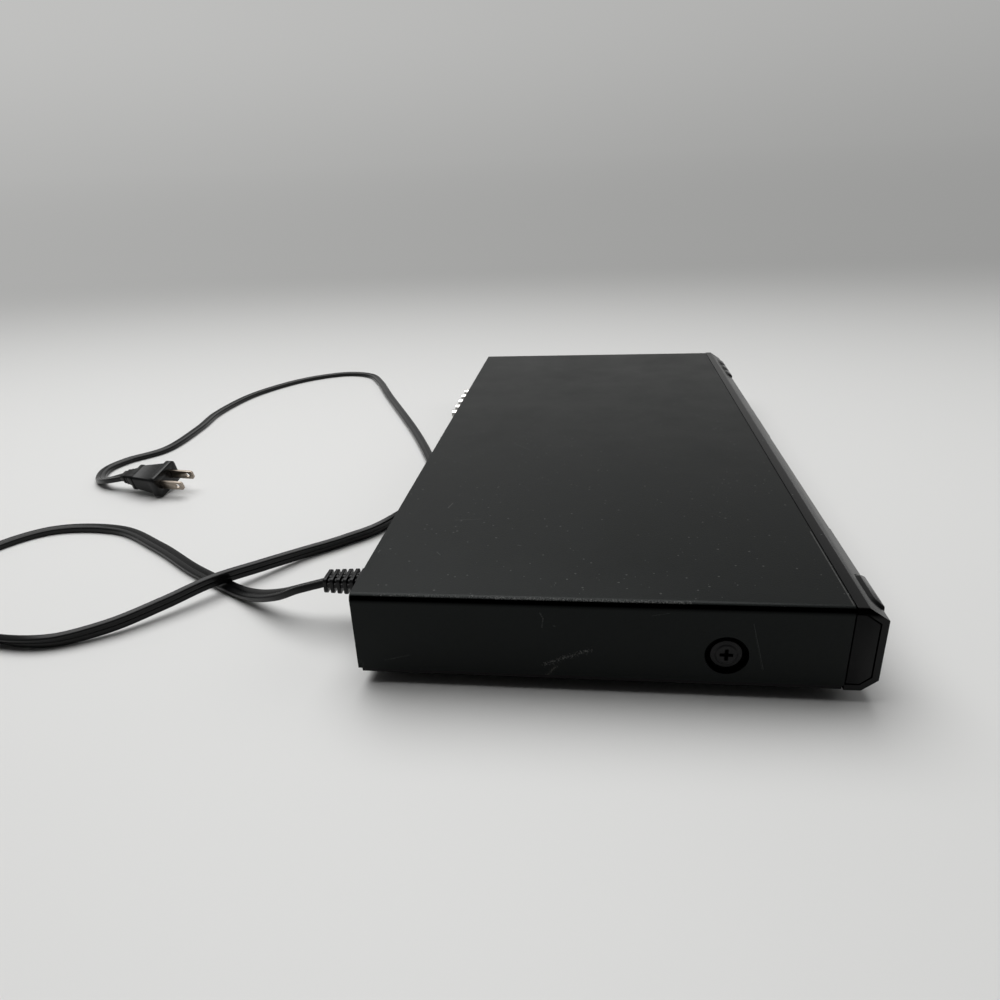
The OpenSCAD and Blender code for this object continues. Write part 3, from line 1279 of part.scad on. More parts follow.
module sled_gear() color("#ece8da") translate([sled_gear_x, sled_gear_y, 0]) difference() {
    union() {
        translate([0, 0, sled_gear_z]) linear_extrude(sled_gear_face) gear_outline(sled_m, sled_large_n, 135);
        translate([0, 0, sled_gear_z + sled_gear_face - 0.1]) linear_extrude(3.2)
            gear_outline(sled_m, sled_pinion_n, 180);
    }
    translate([0, 0, sled_gear_z - 1]) cylinder(r = 1 + run_gap, h = 10);
}

module sled_motor() color("#aaadaf") translate([sled_pinion_x, sled_pinion_y, 0]) difference() {
    union() {
        translate([0, 0, plate_z - 10.4]) cylinder(r = sled_motor_r, h = 10.3);
        translate([0, 0, plate_z - 0.2]) cylinder(r = 2.1, h = plate_t + 0.2);
    }
    translate([0, 0, plate_z - 8]) cylinder(r = 0.75 + run_gap, h = 20);
}

// its gap between two teeth faces the large gear
module sled_pinion() color("#c9a44c") translate([sled_pinion_x, sled_pinion_y, 0]) {
    translate([0, 0, sled_gear_z]) linear_extrude(sled_gear_face)
        gear_outline(sled_m, sled_pinion_n, -45 + 180 / sled_pinion_n);
    translate([0, 0, plate_z - 7.8]) cylinder(r = 0.75, h = sled_gear_z + 1 - plate_z + 7.8);
}

// ---------- nodes ----------

top_cover();
bottom_chassis();
rear_panel();
front_bezel();
bezel_end_caps();
display_window();
feet();
side_screws();
rear_screws();
loader_screws();
board_screws();
jack_block();
jack_barrels();
jack_insulators();
main_board();
board_chips();
heat_sinks();
power_board();
transformer();
board_capacitors();
front_board();
display_module();
tact_switches();
ribbon_cable();
strain_relief();
power_cord();
plug_body();
plug_blades();
loader_frame();
clamp_bridge();
loading_motor();
drive_belt();
disc_tray();
tray_door();
button(power_x, power_w);  // power_button
button(key_xs[0], key_w);  // open_button
button(key_xs[1], key_w);  // play_button
button(key_xs[2], key_w);  // stop_button
motor_pulley();
pulley_gear();
tray_gear();
cam_slider();
lift_frame();
traverse_plate();
traverse_dampers();
spindle_motor();
guide_rails();
sled_motor();
spindle_rotor();
turntable();
clamper();
clamp_magnet();
pickup_sled();
pickup_lens();
sled_gear();
sled_pinion();
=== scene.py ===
"""Slim disc player with a motorised tray, its mains lead and plug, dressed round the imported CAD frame."""

from __future__ import annotations

import json
import logging
import math
from collections.abc import Iterable, Iterator
from contextlib import contextmanager
from dataclasses import dataclass
from enum import Enum
from functools import cached_property, partial, reduce

import bpy
from bpy.types import Material, Node, NodeOutputs, NodeSocket, NodeTree, Object
from mathutils import Matrix, Vector

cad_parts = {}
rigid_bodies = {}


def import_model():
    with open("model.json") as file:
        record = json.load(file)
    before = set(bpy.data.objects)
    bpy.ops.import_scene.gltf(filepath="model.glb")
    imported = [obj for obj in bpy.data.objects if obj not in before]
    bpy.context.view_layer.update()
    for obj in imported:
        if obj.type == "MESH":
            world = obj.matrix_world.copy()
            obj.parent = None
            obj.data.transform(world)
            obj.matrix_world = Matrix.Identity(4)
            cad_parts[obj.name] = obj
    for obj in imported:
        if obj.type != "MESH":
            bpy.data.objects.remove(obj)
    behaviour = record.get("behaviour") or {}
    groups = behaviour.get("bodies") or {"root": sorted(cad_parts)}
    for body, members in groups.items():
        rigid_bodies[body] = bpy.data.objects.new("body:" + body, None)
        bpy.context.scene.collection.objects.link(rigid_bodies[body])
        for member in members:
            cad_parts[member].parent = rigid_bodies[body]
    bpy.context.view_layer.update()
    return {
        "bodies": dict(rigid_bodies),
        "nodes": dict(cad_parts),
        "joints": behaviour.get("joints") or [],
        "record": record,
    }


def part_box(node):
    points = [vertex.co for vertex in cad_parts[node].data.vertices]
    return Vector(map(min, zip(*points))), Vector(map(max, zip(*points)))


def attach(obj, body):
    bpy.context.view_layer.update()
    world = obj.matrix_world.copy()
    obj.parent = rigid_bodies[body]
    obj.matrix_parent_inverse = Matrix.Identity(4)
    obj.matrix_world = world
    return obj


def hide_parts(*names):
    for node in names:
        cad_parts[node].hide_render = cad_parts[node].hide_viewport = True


LOG = logging.getLogger("disc_player")
MM = 0.001
BLACK = (0.0, 0.0, 0.0)
WHITE = (1.0, 1.0, 1.0)

Point = tuple[float, float, float]
Colour = tuple[float, float, float]
Pair = tuple[float, float]
Value = NodeSocket | float | Point


class Texture(Enum):
    """Surface texture of a finish, by the shader group that gives its height."""

    SMOOTH = ""
    FINE = "fine_grain"
    BRUSHED = "brushing"
    SPANGLE = "spangle"
    WEAVE = "weave"


# ---------- shader nodes ----------


class Graph:
    """Node tree that is filled in node by node."""

    def __init__(self, tree: NodeTree) -> None:
        """Notes the tree to fill in."""
        self.tree = tree

    def feed(self, socket: NodeSocket, value: Value) -> None:
        """Gives an input socket its link or its value.

        Args:
            socket: input socket.
            value: output socket to link, or a number, vector or colour to set.
        """
        if isinstance(value, NodeSocket):
            self.tree.links.new(value, socket)
        elif socket.type == "RGBA":
            socket.default_value = (*value, 1.0)
        else:
            socket.default_value = value

    def node(self, kind: str, *values: Value, setting: dict[str, object] | None = None,
             **named: Value) -> Node:
        """Adds a node.

        Args:
            kind: Blender's name of the node type, without ShaderNode.
            *values: what its first input sockets get, in order.
            setting: properties of the node.
            **named: what other input sockets get, by name with _ for a space.

        Returns:
            The new node.
        """
        node = self.tree.nodes.new(f"ShaderNode{kind}")
        for name, value in (setting or {}).items():
            setattr(node, name, value)
        for place, value in enumerate(values):
            self.feed(node.inputs[place], value)
        for name, value in named.items():
            self.feed(node.inputs[name.replace("_", " ")], value)
        return node

    def math(self, operation: str, *values: Value, clamp: bool = False) -> NodeSocket:
        """Adds a Math node and returns its result."""
        return self.node("Math", *values, setting={"operation": operation, "use_clamp": clamp}).outputs[0]

    def vector(self, operation: str, *values: Value, **named: Value) -> NodeSocket:
        """Adds a Vector Math node and returns its result, a number or a vector."""
        node = self.node("VectorMath", *values, setting={"operation": operation}, **named)
        return node.outputs["Value" if operation in ("DOT_PRODUCT", "LENGTH") else "Vector"]

    def parts(self, vector: NodeSocket) -> NodeOutputs:
        """Splits a vector and returns its X, Y and Z sockets."""
        return self.node("SeparateXYZ", vector).outputs

    def spread(self, value: NodeSocket, start: Value, end: Value, low: float = 0.0, high: float = 1.0,
               smooth: bool = False) -> NodeSocket:
        """Turns the range from start to end into the range from low to high.

        Args:
            value: number to turn.
            start: number that becomes low.
            end: number that becomes high.
            low: result at the start.
            high: result at the end.
            smooth: whether it eases in and out.

        Returns:
            The result.
        """
        setting = {"interpolation_type": "SMOOTHSTEP" if smooth else "LINEAR"}
        return self.node("MapRange", value, start, end, low, high, setting=setting).outputs["Result"]

    def over(self, colour: NodeSocket, mask: NodeSocket, top: Colour) -> NodeSocket:
        """Lays a plain colour over another where a mask says, and returns the mixed colour."""
        return self.node("Mix", setting={"data_type": "RGBA"}, Factor=mask, A=colour, B=top).outputs["Result"]

    def group(self, tree: NodeTree, place: NodeSocket, **named: Value) -> NodeSocket:
        """Places a shared group on coordinates and returns what it puts out."""
        return self.node("Group", setting={"node_tree": tree}, Vector=place, **named).outputs[0]


class Group(Graph):
    """Shader node group with coordinates and other values as inputs, and one output."""

    def __init__(self, name: str, **inputs: float | Colour | None) -> None:
        """Makes a group with its input sockets.

        Args:
            name: name of the group.
            **inputs: sockets with a default number, a default colour, or None for a vector.
        """
        super().__init__(bpy.data.node_groups.new(name, "ShaderNodeTree"))
        for title, default in {"Vector": None, **inputs}.items():
            kind = "Vector" if default is None else "Color" if isinstance(default, tuple) else "Float"
            socket = self.tree.interface.new_socket(title.replace("_", " "), in_out="INPUT",
                                                    socket_type=f"NodeSocket{kind}")
            if default is not None:
                socket.default_value = (*default, 1.0) if isinstance(default, tuple) else default
        self.given = self.tree.nodes.new("NodeGroupInput").outputs

    def __getitem__(self, title: str) -> NodeSocket:
        """Returns what comes in by an input socket."""
        return self.given[title]

    def texture(self, kind: str, place: NodeSocket | None = None, **named: Value) -> NodeOutputs:
        """Adds a texture node at the group's Scale.

        Args:
            kind: Blender's name of the node type, without ShaderNode.
            place: coordinates, if they aren't the group's own.
            **named: values of other input sockets.

        Returns:
            Its output sockets.
        """
        place = place or self.given["Vector"]
        return self.node(kind, Vector=place, Scale=self.given["Scale"], **named).outputs

    def finish(self, title: str, result: NodeSocket) -> NodeTree:
        """Puts a result out of the group.

        Args:
            title: name of the output.
            result: socket that it comes from.

        Returns:
            The finished group.
        """
        kind = "Color" if title == "Colour" else "Float"
        self.tree.interface.new_socket(title, in_out="OUTPUT", socket_type=f"NodeSocket{kind}")
        self.feed(self.tree.nodes.new("NodeGroupOutput").inputs[title], result)
        return self.tree


class ShaderGroups:
    """Node groups that the finishes share. Each one is built the first time that it is asked for."""

    @cached_property
    def tone(self) -> NodeTree:
        """Gives a colour slow, cloudy changes of lightness.

        Returns:
            The group.
        """
        made = Group("tone", Colour=(0.5, 0.5, 0.5), Scale=40.0, Variation=0.1)
        clouds = made.texture("TexNoise", Detail=4.0, Roughness=0.6)["Fac"]
        swing = made.math("MULTIPLY_ADD", clouds, 2.0, -1.0)
        amount = made.math("MULTIPLY_ADD", swing, made["Variation"], 1.0)
        return made.finish("Colour", made.vector("SCALE", made["Colour"], Scale=amount))

    @cached_property
    def sheen(self) -> NodeTree:
        """Gives a roughness patches where the surface has been handled.

        Returns:
            The group.
        """
        made = Group("sheen", Roughness=0.5, Scale=25.0, Variation=0.08)
        patches = made.texture("TexNoise", Detail=3.0, Roughness=0.55)["Fac"]
        swing = made.math("MULTIPLY_ADD", patches, 2.0, -1.0)
        amount = made.math("MULTIPLY_ADD", swing, made["Variation"], made["Roughness"])
        return made.finish("Roughness", amount)

    @cached_property
    def specks(self) -> NodeTree:
        """Masks small scattered specks of dust: a few cells of a cell pattern hold one each.

        Returns:
            The group.
        """
        made = Group("specks", Scale=300.0, Share=0.1, Size=0.12)
        cells = made.texture("TexVoronoi")
        chance = made.node("SeparateColor", cells["Color"]).outputs
        chosen = made.math("LESS_THAN", chance["Red"], made["Share"])
        size = made.math("MULTIPLY", chance["Green"], made["Size"])
        near = made.math("LESS_THAN", cells["Distance"], size)
        return made.finish("Mask", made.math("MULTIPLY", chosen, near))

    @cached_property
    def scratches(self) -> NodeTree:
        """Masks thin handling scratches: the middle line of a stretched noise, broken up by a second noise.

        Returns:
            The group.
        """
        made = Group("scratches", Scale=9.0, Width=0.004, Share=0.35)
        stretch = made.node("Mapping", made["Vector"], Rotation=(0.3, 0.5, 0.8), Scale=(1.0, 6.0, 3.0))
        lines = made.texture("TexNoise", stretch.outputs[0], Detail=1.0, Roughness=0.4)["Fac"]
        patches = made.texture("TexNoise", Detail=2.0)["Fac"]
        away = made.math("ABSOLUTE", made.math("SUBTRACT", lines, 0.5))
        thin = made.math("LESS_THAN", away, made["Width"])
        some = made.math("LESS_THAN", patches, made["Share"])
        return made.finish("Mask", made.math("MULTIPLY", thin, some))

    @cached_property
    def fine_grain(self) -> NodeTree:
        """Returns a group for the height of a fine moulded or sprayed texture."""
        made = Group("fine_grain", Scale=1800.0)
        return made.finish("Height", made.texture("TexNoise", Detail=2.0, Roughness=0.6)["Fac"])

    @cached_property
    def brushing(self) -> NodeTree:
        """Gives the height of fine lines drawn along X, as rolled or brushed sheet has.

        Returns:
            The group.
        """
        made = Group("brushing", Scale=900.0)
        stretch = made.node("Mapping", made["Vector"], Scale=(0.02, 1.0, 1.0)).outputs[0]
        return made.finish("Height", made.texture("TexNoise", stretch, Detail=3.0, Roughness=0.7)["Fac"])

    @cached_property
    def spangle(self) -> NodeTree:
        """Gives the crystal patches of a zinc coating their heights.

        Returns:
            The group.
        """
        made = Group("spangle", Scale=260.0)
        chance = made.node("SeparateColor", made.texture("TexVoronoi")["Color"])
        return made.finish("Height", chance.outputs["Red"])

    @cached_property
    def weave(self) -> NodeTree:
        """Returns a group for the height of the glass cloth that shows through a circuit board's mask."""
        made = Group("weave", Scale=1200.0)
        return made.finish("Height", made.texture("TexChecker")["Fac"])

    @cached_property
    def stroke(self) -> NodeTree:
        """Masks one straight mark from one point to another, ragged at its edges: a rubbed mark, or a pale
        edge line that is partly edge wear and partly painted highlight.

        Returns:
            The group.
        """
        made = Group("stroke", From=None, To=None, Width=0.001, Ragged=0.5)
        away = made.vector("SUBTRACT", made["Vector"], made["From"])
        along = made.vector("SUBTRACT", made["To"], made["From"])
        share = made.math("DIVIDE", made.vector("DOT_PRODUCT", away, along),
                          made.vector("DOT_PRODUCT", along, along), clamp=True)
        step = made.vector("SCALE", along, Scale=share)
        far = made.vector("LENGTH", made.vector("SUBTRACT", away, step))
        grain = made.node("TexNoise", Vector=made["Vector"], Scale=1700.0, Detail=3.0).outputs["Fac"]
        tear = made.math("MULTIPLY", grain, made["Width"])
        torn = made.math("MULTIPLY_ADD", made["Ragged"], tear, far)
        edge = made.math("DIVIDE", torn, made["Width"])
        return made.finish("Mask", made.math("SUBTRACT", 1.0, edge, clamp=True))

    @cached_property
    def ring(self) -> NodeTree:
        """Masks a round band on a side wall, between two distances from an axis along X.

        Returns:
            The group.
        """
        made = Group("ring", Centre=None, Inner=0.006, Outer=0.008)
        away = made.vector("SUBTRACT", made["Vector"], made["Centre"])
        far = made.vector("LENGTH", made.vector("MULTIPLY", away, (0.0, 1.0, 1.0)))
        past = made.math("GREATER_THAN", far, made["Inner"])
        within = made.math("LESS_THAN", far, made["Outer"])
        return made.finish("Mask", made.math("MULTIPLY", past, within))

    @cached_property
    def bar(self) -> NodeTree:
        """Masks a straight bar on a side wall, by its half sizes along Y and Z about a centre.

        Returns:
            The group.
        """
        made = Group("bar", Centre=None, Half_Y=0.003, Half_Z=0.001)
        away = made.vector("SUBTRACT", made["Vector"], made["Centre"])
        size = made.parts(made.vector("ABSOLUTE", away))
        near_y = made.math("LESS_THAN", size["Y"], made["Half Y"])
        near_z = made.math("LESS_THAN", size["Z"], made["Half Z"])
        return made.finish("Mask", made.math("MULTIPLY", near_y, near_z))

    @cached_property
    def strip(self) -> NodeTree:
        """Masks what lies outside one distance from the middle plane, fading in between two heights.

        Returns:
            The group.
        """
        made = Group("strip", Low=0.0, High=0.01, Side=0.2)
        place = made.parts(made["Vector"])
        rise = made.spread(place["Z"], made["Low"], made["High"])
        outer = made.math("GREATER_THAN", made.math("ABSOLUTE", place["X"]), made["Side"])
        return made.finish("Mask", made.math("MULTIPLY", rise, outer))


GROUPS = ShaderGroups()


# ---------- finishes ----------


TONE_SCALE = 45.0
SPECK_SCALE = 620.0
SPECK_SIZE = 0.32
SPECK_COLOUR = (0.048, 0.049, 0.047)
SCRATCH_GAIN = 2.2
SCRATCH_LIFT = 0.012


@dataclass(frozen=True)
class Shade:
    """Places on the case that lie in deep shade.

    Attributes:
        side: distance from the middle plane beyond which the strip lies.
        strip: heights between which a shaded strip along the side walls fades in.
        ring: inner and outer radius of a shaded ring round a side screw.
        ring_centre: middle of that ring.
        bars: shaded bars that run along X, each one as its middle and half sizes in Y and Z (y, z, y, z).
    """

    side: float = 0.2142
    strip: Pair | None = None
    ring: Pair | None = None
    bars: tuple[tuple[float, float, float, float], ...] = ()
    ring_centre: Point = (0.0, -0.050, 0.020)


@dataclass(frozen=True)
class Finish:
    """A surface finish, as a maker would order it.

    Sizes are in metres. texture_depth is the height of the texture, and texture_scale its fineness per metre.
    """

    colour: Colour
    roughness: float
    metallic: float = 0.0
    texture: Texture = Texture.FINE
    texture_scale: float = 1800.0
    texture_depth: float = 0.00003
    variation: float = 0.12
    polish: float = 0.06
    dust: float = 0.0
    scratch: float = 0.0
    coat: float = 0.0
    specular: float = 0.5
    tint: Colour = (1.0, 1.0, 1.0)
    shade: Shade | None = None

    def material(self, name: str) -> Material:
        """Builds the material.

        Args:
            name: name of the material.

        Returns:
            The finished material.
        """
        made = bpy.data.materials.new(name)
        made.use_nodes = True
        graph = Graph(made.node_tree)
        place = graph.node("TexCoord").outputs["Object"]
        tone = graph.group(GROUPS.tone, place, Scale=TONE_SCALE, Variation=self.variation, Colour=self.colour)
        sockets: dict[str, Value] = {
            "Base Color": self._overlays(graph, place, tone),
            "Roughness": graph.group(GROUPS.sheen, place, Roughness=self.roughness, Variation=self.polish),
            "Metallic": self.metallic, "Coat Weight": self.coat,
            "Specular IOR Level": self.specular, "Specular Tint": self.tint}
        if self.shade:
            sockets["Metallic"] = self._shade(graph, place)
            sockets["Base Color"] = graph.over(sockets["Base Color"], sockets["Metallic"], BLACK)
        if self.texture is not Texture.SMOOTH:
            relief = graph.group(getattr(GROUPS, self.texture.value), place, Scale=self.texture_scale)
            bump = graph.node("Bump", Distance=self.texture_depth, Height=relief)
            sockets["Normal"] = bump.outputs["Normal"]
        for socket, value in sockets.items():
            graph.feed(graph.tree.nodes["Principled BSDF"].inputs[socket], value)
        return made

    def _overlays(self, graph: Graph, place: NodeSocket, colour: NodeSocket) -> NodeSocket:
        """Adds dust specks and scratches to a colour.

        Args:
            graph: nodes of the material.
            place: Object coordinates.
            colour: clean colour.

        Returns:
            The worn colour.
        """
        if self.dust:
            specks = graph.group(GROUPS.specks, place, Scale=SPECK_SCALE, Share=self.dust, Size=SPECK_SIZE)
            colour = graph.over(colour, specks, SPECK_COLOUR)
        if self.scratch:
            lines = graph.group(GROUPS.scratches, place, Share=self.scratch)
            pale = tuple(min(1.0, SCRATCH_GAIN * c + SCRATCH_LIFT) for c in self.colour)
            colour = graph.over(colour, lines, pale)
        return colour

    def _shade(self, graph: Graph, place: NodeSocket) -> NodeSocket:
        """Masks what neither scatters nor mirrors light, because it lies in deep shade.

        Args:
            graph: nodes of the material.
            place: Object coordinates.

        Returns:
            The mask.
        """
        masks = []
        if self.shade.strip:
            low, high = self.shade.strip
            masks.append(graph.group(GROUPS.strip, place, Low=low, High=high, Side=self.shade.side))
        if self.shade.ring:
            inner, outer = self.shade.ring
            centre = self.shade.ring_centre
            masks.append(graph.group(GROUPS.ring, place, Centre=centre, Inner=inner, Outer=outer))
        for y, z, half_y, half_z in self.shade.bars:
            masks.append(graph.group(GROUPS.bar, place, Centre=(0.0, y, z), Half_Y=half_y, Half_Z=half_z))
        return reduce(partial(graph.math, "MAXIMUM"), masks)


@dataclass(frozen=True)
class Mark:
    """A mark on the cover, from one point to another: rubbed wear, or a pale edge line that is partly painted
    highlight. Its edge is torn by ragged times its width.
    """

    start: Point
    end: Point
    width: float
    ragged: float
    colour: Colour


@dataclass(frozen=True)
class CoverPaint(Finish):
    """Matt baked paint of the cover, with the marks that it has picked up, and pale lines along its edges
    that are partly edge wear and partly painted highlight.
    """

    marks: tuple[Mark, ...] = ()

    def _overlays(self, graph: Graph, place: NodeSocket, colour: NodeSocket) -> NodeSocket:
        """Adds the rubbed marks, and the pale edge lines that are partly edge wear and partly painted
        highlight, to the dust and scratches.

        Args:
            graph: nodes of the material.
            place: Object coordinates.
            colour: clean colour.

        Returns:
            The worn colour, with the painted highlight along the edges.
        """
        colour = super()._overlays(graph, place, colour)
        # rubbed marks, and pale edge lines that paint part of the edges' highlight
        for mark in self.marks:
            stroke = graph.group(GROUPS.stroke, place, From=mark.start, To=mark.end, Width=mark.width,
                                 Ragged=mark.ragged)
            colour = graph.over(colour, stroke, mark.colour)
        return colour


@dataclass(frozen=True)
class ColourBands(Finish):
    """A moulding whose pieces differ in colour along X, such as the coloured rings of a row of jacks."""

    first: float = 0.0
    pitch: float = 0.01
    bands: tuple[Colour, ...] = ()

    def _overlays(self, graph: Graph, place: NodeSocket, colour: NodeSocket) -> NodeSocket:
        """Lays each band's colour over those before it, from its own edge onwards.

        Args:
            graph: nodes of the material.
            place: Object coordinates.
            colour: colour under the bands.

        Returns:
            The banded colour.
        """
        across = graph.parts(place)["X"]
        for number, band in enumerate(self.bands):
            past = graph.math("GREATER_THAN", across, self.first + (number - 0.5) * self.pitch)
            colour = graph.over(colour, past, band)
        return colour


SIDE_X = -0.215
TOP_Z = 0.043
FRONT_Y = -0.0953
PALE_RUB = (0.075, 0.076, 0.074)
DULL_RUB = (0.040, 0.042, 0.041)
SIDE_MARKS = (  # ends as (y, z), width, raggedness and colour
    ((0.0213, 0.0128), (0.0031, 0.0203), 0.0040, 1.62, (0.20, 0.20, 0.19)),
    ((0.0205, 0.0076), (0.0165, 0.0118), 0.0030, 1.60, (0.15, 0.145, 0.13)),
    ((0.0228, 0.0370), (0.0217, 0.0345), 0.0009, 1.10, (0.08, 0.08, 0.078)),
    ((0.0217, 0.0345), (0.0222, 0.0305), 0.0010, 1.20, (0.08, 0.08, 0.078)),
    ((0.1010, 0.0130), (0.0980, 0.0090), 0.0035, 1.62, DULL_RUB),
    ((0.0176, 0.0312), (0.0170, 0.0310), 0.0006, 0.60, DULL_RUB),
    ((0.0885, 0.0118), (0.0774, 0.0148), 0.0012, 1.35, DULL_RUB),
    ((-0.0207, 0.0371), (-0.0274, 0.0385), 0.0007, 1.20, DULL_RUB),
    ((-0.0591, 0.0347), (-0.0645, 0.0140), 0.00026, 0.7, (0.060, 0.062, 0.061)),
    ((-0.0600, 0.0300), (-0.0642, 0.0134), 0.00060, 1.3, DULL_RUB),
)
TOP_MARKS = (  # ends as (x, y), width, raggedness and colour
    ((-0.1286, 0.0754), (-0.1224, 0.0739), 0.00045, 0.8, (0.13, 0.13, 0.125)),
    ((-0.1427, 0.0693), (-0.1412, 0.0566), 0.00030, 0.8, PALE_RUB),
    ((-0.0420, 0.0410), (-0.0300, 0.0520), 0.00030, 0.8, PALE_RUB),
    ((-0.1764, 0.0715), (-0.1790, 0.0695), 0.00050, 0.9, PALE_RUB),
    ((-0.1685, 0.0360), (-0.1690, 0.0345), 0.00060, 0.9, PALE_RUB),
    # the next three rows are pale ragged lines along the cover's front edge and near top edge: partly edge
    # wear, partly painted highlight where the edges catch the light
    ((-0.2135, FRONT_Y + 0.0004), (-0.1500, FRONT_Y + 0.0004), 0.00050, 0.90, (0.16, 0.16, 0.155)),
    ((-0.2138, 0.0900), (-0.2138, 0.0400), 0.0024, 1.48, (0.16, 0.16, 0.155)),
    ((-0.2140, 0.0400), (-0.2140, -0.0350), 0.0027, 1.38, (0.24, 0.24, 0.23)),
)
# rubbed marks on the side and top, and pale edge lines that are partly edge wear and partly painted highlight
MARKS = (*(Mark((SIDE_X, *start), (SIDE_X, *end), *rest) for start, end, *rest in SIDE_MARKS),
         *(Mark((*start, TOP_Z), (*end, TOP_Z), *rest) for start, end, *rest in TOP_MARKS))
JACK_COLOURS = (
    (0.78, 0.77, 0.72), (0.55, 0.03, 0.02), (0.03, 0.22, 0.05), (0.03, 0.06, 0.35), (0.50, 0.02, 0.02))
FINISHES: dict[str, Finish] = {
    "cover_paint": CoverPaint((0.0022, 0.0028, 0.0027), 0.35, texture_scale=1500.0, texture_depth=0.00004,
                              variation=0.10, polish=0.09, dust=0.09, scratch=0.30, specular=0.135,
                              tint=(0.93, 1.0, 0.985), marks=MARKS,
                              shade=Shade(strip=(0.0390, 0.0408), ring=(0.0050, 0.0084),
                                          ring_centre=(0.0, -0.0503, 0.0195))),
    "chassis_steel": Finish((0.004, 0.004, 0.0045), 0.48, specular=0.15, texture_scale=1500.0, dust=0.04),
    "panel_paint": Finish((0.003, 0.0033, 0.0033), 0.42, specular=0.15, texture_scale=1500.0,
                          texture_depth=0.00005, dust=0.05),
    "bezel_plastic": Finish((0.0022, 0.0024, 0.0026), 0.21, specular=0.17, texture_scale=2600.0,
                            texture_depth=0.00001, variation=0.08, polish=0.05, dust=0.04, scratch=0.20,
                            shade=Shade(strip=(0.0382, 0.0402))),
    "black_plastic": Finish((0.0028, 0.0031, 0.0034), 0.42, specular=0.12, texture_scale=1600.0, dust=0.03),
    "dark_window": Finish((0.003, 0.003, 0.006), 0.07, specular=0.22, texture=Texture.SMOOTH, polish=0.02),
    "foot_rubber": Finish((0.018, 0.018, 0.018), 0.78, texture_scale=1200.0, texture_depth=0.00008,
                          dust=0.15),
    "black_screw": Finish((0.006, 0.006, 0.0065), 0.40, specular=0.2, texture_scale=2200.0, dust=0.08,
                          shade=Shade(bars=((-0.050, 0.020, 0.0026, 0.00075),
                                            (-0.050, 0.020, 0.00075, 0.0026)))),
    "bright_screw": Finish((0.55, 0.56, 0.56), 0.28, 1.0, Texture.BRUSHED),
    "nickel": Finish((0.74, 0.73, 0.70), 0.14, 1.0, Texture.BRUSHED, 1500.0, 0.000004, polish=0.08),
    "insulator": ColourBands((0.5, 0.5, 0.5), 0.38, texture_scale=2200.0, first=0.0685, pitch=0.0145,
                             bands=JACK_COLOURS),
    "green_board": Finish((0.010, 0.085, 0.032), 0.32, texture=Texture.WEAVE, texture_depth=0.00001,
                          coat=0.4),
    "brown_board": Finish((0.33, 0.19, 0.075), 0.45, texture=Texture.WEAVE, texture_depth=0.00001),
    "chip_plastic": Finish((0.016, 0.016, 0.018), 0.45, texture_scale=2400.0),
    "sink_aluminium": Finish((0.55, 0.56, 0.57), 0.35, 1.0, Texture.BRUSHED),
    "core_metal": Finish((0.045, 0.040, 0.034), 0.40, 0.4, Texture.BRUSHED, 1600.0, 0.00004),
    "sleeve_plastic": Finish((0.014, 0.018, 0.050), 0.30, texture_scale=900.0, texture_depth=0.00002),
    "ribbon": Finish((0.62, 0.62, 0.58), 0.45, texture=Texture.BRUSHED, texture_scale=500.0),
    "cord_vinyl": Finish((0.0026, 0.0028, 0.0031), 0.24, specular=0.22, texture_scale=1400.0,
                         texture_depth=0.00002, variation=0.15, polish=0.08, dust=0.04),
    "blade_nickel": Finish((0.36, 0.31, 0.26), 0.34, 1.0, Texture.BRUSHED, 1200.0, 0.00001, scratch=0.5),
    "dark_moulding": Finish((0.030, 0.032, 0.035), 0.50, texture_scale=1400.0),
    "galvanised": Finish((0.52, 0.53, 0.54), 0.36, 0.95, Texture.SPANGLE, 260.0, 0.00001),
    "motor_can": Finish((0.50, 0.51, 0.52), 0.30, 1.0, Texture.BRUSHED),
    "belt_rubber": Finish((0.014, 0.014, 0.014), 0.62, texture_scale=1500.0),
    "white_gear": Finish((0.70, 0.68, 0.60), 0.40, texture_depth=0.00001),
    "tray_plastic": Finish((0.022, 0.023, 0.025), 0.48, texture_scale=1700.0, dust=0.05, scratch=0.25),
    "damper_rubber": Finish((0.016, 0.016, 0.016), 0.70, texture_scale=1400.0),
    "winding": Finish((0.36, 0.17, 0.07), 0.35, 0.8, Texture.BRUSHED, 2200.0, 0.00005),
    "rail_steel": Finish((0.66, 0.67, 0.68), 0.12, 1.0, Texture.BRUSHED, 1600.0, 0.000003),
    "lens_metal": Finish((0.05, 0.07, 0.11), 0.12, 0.2, Texture.SMOOTH, coat=0.8),
    "magnet": Finish((0.10, 0.10, 0.10), 0.45, 0.6, texture_scale=1500.0),
    "brass_pinion": Finish((0.60, 0.41, 0.14), 0.26, 1.0, Texture.BRUSHED),
}


